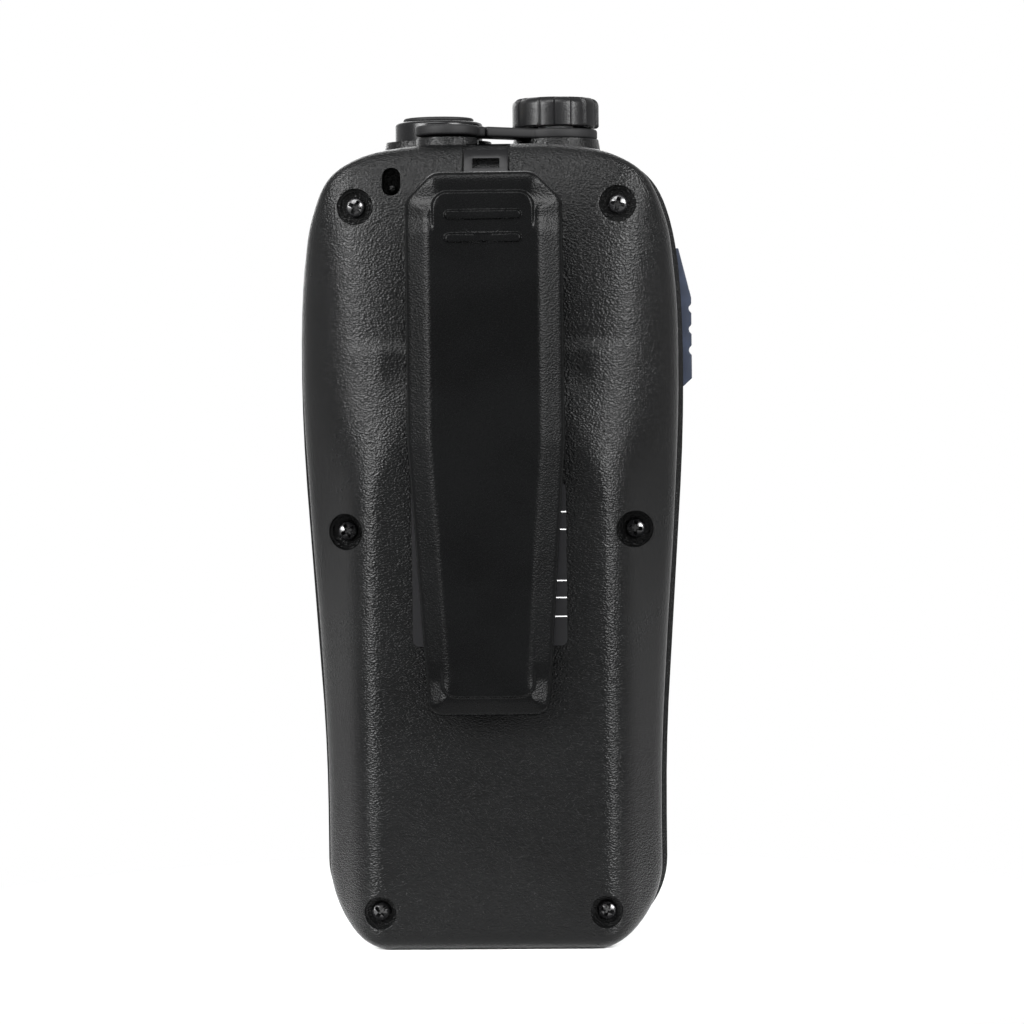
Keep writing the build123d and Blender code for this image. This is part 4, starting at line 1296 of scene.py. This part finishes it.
    def _hollow(self, shell: LoopSurface) -> None:
        """Gives the hollow its form, with the bosses of the screws and the box of the lanyard eye.

        Args:
            shell: The shell.
        """
        fields = [screw.field(screw.boss) for screw in SCREWS] + [self._eye(self.eye_wall)]
        for field in fields:
            shell.refine(field, 2 * self.step, Zone.INSIDE, 1)
        for number, field in enumerate(fields):
            shell.cut(field, Zone.INSIDE, Zone.HIDDEN + number)
        for vert in corners(face for face in shell.mesh.faces if face[shell.zones] <= Zone.INSIDE):
            vert.co.y = self._inside(vert.co.x, vert.co.z)
        levels = [0.0] * len(SCREWS) + [self.eye_floor - self.wall]
        for number, level in enumerate(levels):
            shell.sink(shell.zoned(Zone.HIDDEN + number), level)

    def _lips(self, shell: LoopSurface) -> None:
        """Rounds the mouths of the screw holes and of the lanyard eye.

        Args:
            shell: The shell.
        """
        fields = [screw.field(screw.bore) for screw in SCREWS] + [self._eye()]
        mouth = [
            edge for edge in shell.mesh.edges
            if any(face[shell.zones] == Zone.OUTSIDE for face in edge.link_faces)
            and edge.is_manifold and edge.calc_face_angle() > math.radians(self.lip_turn)
            and any(all(abs(field(v.co.x, v.co.z)) < self.lip_reach for v in edge.verts) for field in fields)
        ]
        shell.bevel(mouth, self.lip, 2)

    def _additions(self, shell: LoopSurface) -> None:
        """Adds the lanyard peg and the boss of the accessory jack.

        Args:
            shell: The shell.
        """
        x, z, _, _ = self.eye
        shell.lathe(self.peg, (x, self.eye_floor - 0.1, z - self.peg_drop), Axis.DEPTH, 28)
        radius, bottom, top = self.jack_boss
        recess, deep = self.jack_recess
        bore = self.jack_bore
        boss = [
            (bore, bottom), (radius, bottom), (radius, top - 0.35), (radius - 0.12, top - 0.1),
            (radius - 0.4, top), (recess + 0.15, top), (recess, top - 0.15), (recess, top - deep),
            (bore, top - deep), (bore, bottom),
        ]
        shell.lathe(boss, (*self.jack, 0.0))


@dataclass
class CaseScrews(SubAssembly):
    """Glossy pan head screws with a cross recess."""

    head: float = 1.65
    head_height: float = 1.4
    crown: float = 0.6
    rim: float = 0.3
    shank: float = 1.0
    tip: float = -6.0
    point: Place = (0.25, 0.4)
    arm: float = 0.33
    reach: float = 1.2
    corner: float = 0.198
    refined: float = 0.2
    recess: float = 1.35
    taper: float = 0.5
    count: int = 84
    shares: tuple[float, ...] = (
        0.03, 0.08, 0.14, 0.2, 0.27, 0.34, 0.41, 0.48, 0.55, 0.62, 0.69, 0.76, 0.83, 0.9, 1.0,
    )

    tag = Tag("case_screw_set", "screw_black", ("case_screws",), sharp=30.0)

    def model(self) -> Piece:
        """Models all six screws as one piece.

        Returns:
            The piece.
        """
        tray = Piece()
        for place in SCREWS:
            tray.absorb(self._screw(place))
        return tray

    def _screw(self, place: ScrewPlace) -> LoopSurface:
        """Models one screw.

        Args:
            place: Where it sits.

        Returns:
            The screw.
        """
        turns = [math.tau * i / self.count for i in range(self.count)]
        ring = [(place.x + self.head * math.sin(a), place.z - self.head * math.cos(a)) for a in turns]
        screw = LoopSurface(ring, (place.z, place.z), place.x, place.seat)
        top = place.seat + self.head_height
        screw.inward(0.0)
        screw.cover(self.shares, Zone.OUTSIDE)
        screw.restart()
        shank = (self.head - self.shank) / self.head
        narrower, rise = self.point
        for share, depth in ((shank, place.seat), (shank, self.tip + rise), (shank + narrower, self.tip)):
            screw.inward(share, depth)
        screw.cover((1.0,), depth=self.tip)
        cross = self._cross(place)
        screw.refine(cross, self.refined, Zone.OUTSIDE, 1)
        screw.cut(cross, Zone.OUTSIDE, Zone.FEATURE)
        for vert in corners(face for face in screw.mesh.faces if face[screw.zones] >= Zone.OUTSIDE):
            away = math.hypot(vert.co.x - place.x, vert.co.z - place.z)
            drop = fall(self.rim, away - self.head + self.rim)
            vert.co.y = top - self.crown * (away / self.head) ** 2 - drop
        for vert in corners(screw.sink(screw.zoned(Zone.FEATURE), top - self.recess)):
            vert.co.x += (place.x - vert.co.x) * self.taper
            vert.co.z += (place.z - vert.co.z) * self.taper
        bmesh.ops.recalc_face_normals(screw.mesh, faces=screw.mesh.faces)
        return screw

    def _cross(self, place: ScrewPlace) -> Field:
        """Signed distance to a screw's cross recess.

        Args:
            place: Where the screw sits.

        Returns:
            The distance as a function of place.
        """
        cos, sin = math.cos(place.turn), math.sin(place.turn)
        arms = (self.arm, self.reach), (self.reach, self.arm)

        def field(x: float, z: float) -> float:
            """The distance at one place.

            Args:
                x: Place across.
                z: Place up.

            Returns:
                The distance.
            """
            across, up = x - place.x, z - place.z
            across, up = across * cos + up * sin, up * cos - across * sin
            return min(slot_field(across, up, wide, tall, self.corner) for wide, tall in arms)

        return field


@dataclass
class FrontShell(SubAssembly):
    """The front half of the case, with softened edges."""

    edge: float = 0.35
    angle: float = 38.0

    tag = Tag("front_shell", "case_plastic", ("front_case",), flat=True)

    def model(self) -> Piece:
        """Models the shell.

        Returns:
            The piece.
        """
        shell = Piece()
        shell.adopt("front_case")
        shell.soften(self.edge, self.angle)
        return shell


# ---- Belt clip ----


@dataclass
class BeltClip(SubAssembly):
    """The belt clip's arm: bevelled sides, a raised panel and two thumb ridges."""

    top: float = 127.85
    bottom: float = 39.5
    top_half: float = 12.8
    bottom_half: float = 9.95
    taper_z: float = 84.0
    top_corner: tuple[Place, ...] = (
        (0.0, 5.5), (0.26, 4.52), (0.95, 3.65), (3.7, 0.9), (4.8, 0.2), (6.2, 0.0),
    )
    top_spacing: float = 0.3
    foot_corner: tuple[Place, ...] = ((3.3, 0.0), (2.3, 0.0), (0.69, 0.69), (0.0, 2.3))
    foot_spacing: float = 0.4
    spine: Place = (49.5, 115.35)
    back: float = 28.6
    bevel: Place = (3.8, 2.7)
    bevel_blend: float = 0.4
    base: float = 24.8
    inner: float = 26.4
    wall: float = 1.6
    edge_round: float = 0.55
    panel: tuple[float, float, float, float] = (8.45, 7.75, 42.4, 124.8)   # half widths, bottom and top
    panel_corner: float = 2.7
    panel_rise: float = 0.5
    panel_slope: float = 0.5
    panel_rest: float = 0.04
    panel_refined: float = 1.3
    crisp_top: Place = (118.0, 120.6)
    crisp_foot: Place = (45.0, 48.5)
    top_bevel: float = 0.3
    top_fade: Place = (5.5, 0.6)
    foot_bevel: float = 0.62
    foot_fade: float = 7.0
    ridges: tuple[float, ...] = (120.85, 117.1)
    ridge: Point = (6.3, 0.85, 0.5)
    ridge_slope: float = 0.32
    ridge_refined: float = 0.9
    pin: Point = (23.2, 113.0, 1.1)
    lug: Point = (8.65, 1.8, 2.5)
    toe: tuple[float, float, float, float] = (5.3, 42.0, 45.6, 19.35)      # half width, bottom, top and tip
    toe_corner: float = 0.5
    toe_root: float = 0.2
    toe_taper: Place = (0.25, 0.2)
    step: float = 0.75
    shares: tuple[float, ...] = (
        0.01, 0.025, 0.045, 0.07, 0.11, 0.15, 0.19, 0.23, 0.265, 0.3, 0.33, 0.355, 0.38, 0.405, 0.43, 0.46,
        0.5, 0.55, 0.61, 0.68, 0.76, 0.84, 0.92, 1.0,
    )
    inner_shares: tuple[float, ...] = (0.1, 0.3, 0.6, 1.0)

    tag = Tag("belt_clip", "clip_plastic", ("clip_arm",), "clip", sharp=50.0)

    def _outline(self) -> list[Place]:
        """The arm's outline, seen from behind.

        Returns:
            The points of the closed outline.
        """
        foot = [(self.bottom_half - across, self.bottom + up) for across, up in self.foot_corner]
        brow = [(self.top_half - across, self.top - down) for across, down in self.top_corner]
        waist, middle = (self.top_half, self.taper_z), (0.0, self.top)
        points = self._line((0.0, self.bottom), foot[0])
        points += smooth_path(foot[1:], (1, 0), (0.06, 1), self.foot_spacing)
        points += self._line(foot[-1], waist) + self._line(waist, brow[0])
        points += smooth_path(brow[:3], (0, 1), (-0.7, 0.7), self.top_spacing)
        points += self._line(brow[2], brow[3])
        points += smooth_path(brow[3:], (-0.7, 0.7), (-1, 0), self.top_spacing)
        return mirrored(points + self._line(brow[-1], middle) + [middle])

    def _line(self, start: Place, end: Place) -> list[Place]:
        """Even points along a straight run, without its end."""
        count = max(round(math.dist(start, end) / self.step), 1)
        return [tuple(a + (b - a) * i / count for a, b in zip(start, end)) for i in range(count)]

    def _panel(self, x: float, z: float) -> float:
        """Signed distance to the raised panel, which narrows downwards.

        Args:
            x: Place across.
            z: Height.

        Returns:
            The distance.
        """
        upper, lower, low, high = self.panel
        half = lower + (upper - lower) * (z - low) / (high - low)
        return slot_field(x, z - (low + high) / 2, half, (high - low) / 2, self.panel_corner)

    def _ridge(self, middle: float) -> Field:
        """Signed distance to the thumb ridge at a height."""
        half, tall, _ = self.ridge
        return lambda x, z: slot_field(x, z - middle, half, tall, tall - 0.01)

    def _height(self, x: float, z: float, edge: float) -> float:
        """Depth of the outside.

        Args:
            x: Place across.
            z: Height.
            edge: Distance to the arm's edge.

        Returns:
            The depth.
        """
        narrow = eased(1.0, self.top_bevel, z, *(self.top - down for down in self.top_fade))
        narrow *= eased(self.foot_bevel, 1.0, z, self.bottom, self.bottom + self.foot_fade)
        width, drop = self.bevel[0] * narrow, (self.bevel[1] - self.panel_rise) * narrow
        crisp = max(eased(0.0, 1.0, z, *self.crisp_top), eased(1.0, 0.0, z, *self.crisp_foot))
        rise = self.panel_rise * (self.panel_rest + (1 - self.panel_rest) * crisp)
        flat = self.back - rise
        depth = soft_least(flat, flat - drop * (1 - edge / width), self.bevel_blend)
        depth -= fall(self.edge_round, self.edge_round - edge)
        depth += rise * eased(0.0, 1.0, -self._panel(x, z), 0.0, self.panel_slope)
        for middle in self.ridges:
            depth += self.ridge[2] * eased(1.0, 0.0, self._ridge(middle)(x, z), -self.ridge_slope, 0.0)
        return depth

    def model(self) -> Piece:
        """Models the arm.

        Returns:
            The piece.
        """
        arm = LoopSurface(self._outline(), self.spine, depth=self.base)
        arm.inward(0.0)
        arm.cover(self.shares, Zone.OUTSIDE)
        arm.restart()
        arm.inward(0.0, self.base, self.wall)
        arm.inward(0.0, self.inner, self.wall)
        arm.cover(self.inner_shares, depth=self.inner, start=self.wall)
        for middle in self.ridges:
            arm.refine(self._ridge(middle), self.ridge_refined, Zone.OUTSIDE, 3)
        arm.refine(self._panel, self.panel_refined, Zone.OUTSIDE, 2)
        for vert in corners(arm.zoned(Zone.OUTSIDE)):
            x, z = vert.co.x, vert.co.z
            vert.co.y = self._height(x, z, arm.edge_distance(x, z))
        bmesh.ops.recalc_face_normals(arm.mesh, faces=arm.mesh.faces)
        self._lugs(arm)
        self._toe(arm)
        return arm

    def _lugs(self, arm: LoopSurface, rim: float = 0.2, root: float = 0.3) -> None:
        """Adds the two lugs that the pin passes through.

        Args:
            arm: The arm.
            rim: Chamfer of their edges.
            root: How far their roots reach into the arm and stand in from their sides.
        """
        y, z, bore = self.pin
        near, thick, radius = self.lug
        turn = Matrix.Rotation(math.pi / 2, 3, "Y")
        section = [
            (bore, 0.0), (radius - rim, 0.0), (radius, rim), (radius, thick - rim), (radius - rim, thick),
            (bore, thick), (bore, 0.0),
        ]
        depth = self.inner - y
        for side in (-1, 1):
            middle = side * (near + thick / 2)
            made = arm.lathe(section, (0, 0, -thick / 2), steps=40)
            bmesh.ops.rotate(arm.mesh, verts=made, cent=(0, 0, 0), matrix=turn)
            bmesh.ops.translate(arm.mesh, verts=made, vec=(middle, y, z))
            size = (thick, depth - radius / 2 + root, 2 * (radius - root))
            arm.block((middle, y + radius / 2 + depth / 2, z), size, 0.15)

    def _toe(self, arm: LoopSurface) -> None:
        """Adds the hook at the lower end that reaches towards the case, with its tip drawn in.

        Args:
            arm: The arm.
        """
        half, low, high, tip = self.toe
        narrower, lower = self.toe_taper
        root = self.inner + self.toe_root
        size = (2 * half, root - tip, high - low)
        for vert in arm.block((0, (root + tip) / 2, (low + high) / 2), size, self.toe_corner):
            if vert.co.y < tip + 2 * self.toe_corner:
                vert.co.z += (high - vert.co.z) * narrower - lower


# ---- Controls, port and trim ----


@dataclass
class VolumeKnob(SubAssembly):
    """The volume knob: eight shallow flutes, a rounded shoulder and a dished top."""

    place: Point = (-11.0, -8.5, 137.1)
    radius: float = 7.4
    height: float = 5.05
    shoulder: float = 1.3
    shoulder_steps: int = 7
    foot: float = 0.3
    rows: tuple[float, ...] = (0.0, 0.12, 0.3, 0.7, 1.2, 1.8, 2.4, 3.0)
    cavity: Place = (6.2, 1.2)
    bore: Place = (3.05, 3.7)
    dish: Place = (5.0, 0.22)
    skin: Point = (6.25, 5.3, 4.0)         # radius of the side and of the top, and the top's height
    flutes: int = 8
    flute_turn: float = 34.0
    flute_half: float = 13.0
    flute_ease: float = 3.6
    flute_depth: float = 0.6
    steps: int = 240

    tag = Tag("volume_dial", "knob_plastic", ("volume_knob",), "knob", sharp=30.0)

    def _profile(self) -> list[Place]:
        """The knob's half section, from the top of its bore round to the middle of its top.

        Returns:
            The section's corners.
        """
        bore, deep = self.bore
        cavity, low = self.cavity
        inner, dip = self.dish
        top, ease = self.height, self.shoulder
        profile = [(0.0, deep), (bore, deep), (bore, low), (cavity, low), (cavity, 0.0)]
        for row in (*self.rows, top - ease):
            profile.append((self.radius - self.foot * (1 - min(row / self.foot, 1.0)) ** 2, row))
        for part in range(1, self.shoulder_steps + 1):
            turn = math.pi / 2 * part / self.shoulder_steps
            across, down = ease * (1 - math.cos(turn)), ease * (1 - math.sin(turn))
            profile.append((self.radius - across, top - down))
        profile += [(inner + 0.25, top), (inner + 0.1, top - 0.04), (inner, top - dip + 0.05)]
        return profile + [(inner - 0.15, top - dip), (2.0, top - dip), (0.0, top - dip)]

    def _flute(self, turn: float, away: float) -> float:
        """How far the knob's side is drawn in by its flutes.

        Args:
            turn: Place around the knob, in degrees.
            away: Distance from its axis.

        Returns:
            The distance.
        """
        gap = 360 / self.flutes
        off = abs((turn - self.flute_turn + gap / 2) % gap - gap / 2)
        share = eased(1.0, 0.0, off, self.flute_half - self.flute_ease, self.flute_half)
        share *= eased(0.0, 1.0, away, self.radius - self.shoulder, self.radius - 0.5)
        return self.flute_depth * share

    def model(self) -> Piece:
        """Models the knob.

        Returns:
            The piece.
        """
        knob = Piece()
        x, y, z = self.place
        side, top, high = self.skin
        for vert in knob.lathe(self._profile(), self.place, steps=self.steps):
            away = Vector((vert.co.x - x, vert.co.y - y))
            if away.length > side or (away.length > top and vert.co.z > z + high):
                turn = math.degrees(math.atan2(away.y, away.x))
                away *= 1 - self._flute(turn, away.length) / away.length
                vert.co.x, vert.co.y = x + away.x, y + away.y
        return knob


@dataclass
class ClipSpring(SubAssembly):
    """The torsion spring under the clip: a close coil around the pin with two straight legs."""

    pin: Place = (23.2, 113.0)
    radius: float = 1.95
    wire: float = 0.35
    half: float = 4.8
    turns: int = 12
    steps: int = 24
    leg_top: float = 117.6
    clip_side: float = 24.85
    case_side: float = 20.3

    tag = Tag("clip_coil", "steel", ("clip_spring",))

    def model(self) -> Piece:
        """Models the spring.

        Returns:
            The piece.
        """
        spring = Piece()
        mesh = spring.mesh
        y, z = self.pin
        start = Matrix.Translation((-self.half, y + self.radius, z))
        turned = start @ Matrix.Rotation(math.pi / 2, 4, "X") @ Matrix.Rotation(math.pi / 2, 4, "X")
        ring = bmesh.ops.create_circle(mesh, segments=8, radius=self.wire, matrix=turned)["verts"]
        ring += once(edge for vert in ring for edge in vert.link_edges)
        count = self.turns * self.steps
        bmesh.ops.spin(
            mesh, geom=ring, cent=(0, y, z), axis=(1, 0, 0), angle=math.tau * self.turns, steps=count,
            dvec=(2 * self.half / count, 0, 0), use_merge=False,
        )
        bmesh.ops.holes_fill(mesh, edges=[edge for edge in mesh.edges if edge.is_boundary], sides=0)
        self._leg(spring, -self.half, self.case_side)
        self._leg(spring, self.half, self.clip_side)
        bmesh.ops.recalc_face_normals(mesh, faces=mesh.faces)
        return spring

    def _leg(self, spring: Piece, x: float, reach: float) -> None:
        """Adds a straight leg from an end of the coil.

        Args:
            spring: The spring.
            x: Place across.
            reach: Y of its tip.
        """
        y, z = self.pin
        start = Vector((x, y + math.copysign(self.radius, reach - y), z))
        end = Vector((x, reach, self.leg_top))
        way = end - start
        facing = way.to_track_quat("Z", "Y").to_matrix().to_4x4()
        bmesh.ops.create_cone(
            spring.mesh, cap_ends=True, segments=12, radius1=self.wire, radius2=self.wire,
            depth=way.length, matrix=Matrix.Translation((start + end) / 2) @ facing,
        )


@dataclass(frozen=True)
class Moulding(SubAssembly):
    """A solid of the frame that is shown with moulded roundings on its edges."""

    node: str
    name: str
    width: float
    body: str = "root"
    segments: int = 3

    @property
    def tag(self) -> Tag:
        """The piece's tag, with the slot of its node."""
        return Tag(self.name, SLOTS[self.node], (self.node,), self.body, sharp=50.0)

    def model(self) -> Piece:
        """Models the piece.

        Returns:
            The piece.
        """
        piece = Piece()
        piece.adopt(self.node)
        piece.soften(self.width, segments=self.segments)
        return piece


MOULDINGS = (
    Moulding("ptt_button", "talk_button", 0.4, "ptt"),
    Moulding("dust_cap", "jack_cap", 0.4, "dust_cap"),
    Moulding("cap_strap", "jack_strap", 0.4),
    Moulding("antenna_collar", "port_collar", 0.3),
    Moulding("antenna_seal", "port_seal", 0.3),
    Moulding("antenna_connector", "port_connector", 0.15),
    Moulding("clip_bracket", "clip_mount", 0.22),
    Moulding("display_lens", "display_window", 0.25),
    *(
        Moulding(f"key_{key}", f"button_{key}", 0.45, f"key_{key}")
        for key in ("up", "down", "light", "menu", "power", "scan", "level", "sixteen", "weather")
    ),
)


# ---- Studio ----


@dataclass(frozen=True)
class SoftBox:
    """A rectangular studio light."""

    name: str
    place: Point
    width: float
    height: float
    power: float
    aim: Point = (0.0, 0.0, 0.07)

    def build(self) -> None:
        """Places the light, facing its aim."""
        lamp = bpy.data.lights.new(self.name, "AREA")
        lamp.shape = "RECTANGLE"
        lamp.size, lamp.size_y = self.width, self.height
        lamp.energy = self.power
        light = placed(self.name, lamp)
        light.location = self.place
        away = Vector(self.place) - Vector(self.aim)
        light.rotation_euler = away.to_track_quat("Z", "Y").to_euler()


@dataclass
class Studio:
    """Camera, floor, backdrop colour and lights, in metres."""

    distance: float = 0.65
    lens: float = 135.0
    sensor: float = 36.0
    turn: float = 182.2
    tilt: float = 1.6
    roll: float = -0.68
    aim: Point = (-0.0031, 0.0, 0.0719)
    floor_size: float = 6.0
    floor_grey: float = 0.9
    floor_fade: Place = (45.0, 120.0)      # millimetres from the origin
    room_grey: float = 0.1
    white: Colour = (1.0, 1.0, 1.0)
    lights: tuple[SoftBox, ...] = (
        SoftBox("left_strip", (0.8, 0.78, 0.48), width=0.52, height=0.56, power=44.0),
        SoftBox("right_strip", (-0.82, 0.76, 0.48), width=0.48, height=0.56, power=40.0),
        SoftBox("top_box", (0.15, 0.7, 1.0), width=0.8, height=0.4, power=17.0),
        SoftBox("front_box", (0.3, -1.2, 0.6), width=0.9, height=0.9, power=7.0),
    )

    def build(self) -> None:
        """Sets the stage."""
        bpy.context.scene.view_settings.view_transform = "Standard"
        self._camera()
        self._world()
        self._floor()
        for light in self.lights:
            light.build()

    def _camera(self) -> None:
        """Places the camera behind the radio, level with its middle."""
        data = bpy.data.cameras.new("camera")
        data.lens, data.sensor_width = self.lens, self.sensor
        camera = placed("camera", data)
        turn, tilt = math.radians(self.turn), math.radians(self.tilt)
        level = math.cos(tilt)
        back = Vector((math.sin(turn) * level, -math.cos(turn) * level, math.sin(tilt)))
        camera.location = Vector(self.aim) + back * self.distance
        rolled = Matrix.Rotation(math.radians(self.roll), 4, back)
        facing = back.to_track_quat("Z", "Y").to_matrix().to_4x4()
        camera.rotation_euler = (rolled @ facing).to_euler()
        bpy.context.scene.camera = camera

    def _world(self) -> None:
        """A white surround for the camera and a soft grey one for the light it gives."""
        world = bpy.data.worlds.new("studio")
        bpy.context.scene.world = world
        tree = NodeTree(world)
        room = Signal(tree, tree.nodes["Background"].outputs[0])
        tree.feed(room.socket.node.inputs["Color"], (self.room_grey,) * 3)
        white = tree.node("ShaderNodeBackground", {}, {"Color": self.white})
        tree.show("World Output", tree.seen(), room, white)

    def _floor(self) -> None:
        """A pale floor under the radio, which fades to white further out."""
        mesh = bmesh.new()
        bmesh.ops.create_grid(mesh, x_segments=1, y_segments=1, size=self.floor_size / 2)
        data = bpy.data.meshes.new("floor")
        mesh.to_mesh(data)
        mesh.free()
        floor = placed("floor", data)
        floor.location.z = CAD_BOX[0].z
        tree = ShaderTree("floor_paper")
        tree.set(Base_Color=(self.floor_grey,) * 3, Roughness=0.9, Specular_IOR_Level=0.0)
        paper = Signal(tree, tree.shader.outputs[0])
        away = tree.node("ShaderNodeVectorMath", {"operation": "LENGTH"}, {0: tree.place()}, "Value")
        white = tree.node("ShaderNodeEmission", {}, {"Color": self.white, "Strength": 1.0})
        tree.show("Material Output", tree.seen() * away.between(*self.floor_fade), paper, white)
        data.materials.append(tree.material)
        floor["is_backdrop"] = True


# ---- Build ----


def main() -> None:
    """Builds the studio and every piece."""
    finishes = Finishes()
    finishes.dress_frame()
    Studio().build()
    parts = RearShell(CaseOutline()), FrontShell(), CaseScrews(), BeltClip(), VolumeKnob(), ClipSpring()
    for part in (*parts, *MOULDINGS):
        part.build(finishes)
    LOG.info("frame dressed: %d nodes", len(frame["nodes"]))
    boxes = {"cad": CAD_BOX, "visual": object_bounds()}
    boxes = {name: [list(corner) for corner in box] for name, box in boxes.items()}


if __name__ == "__main__":
    main()
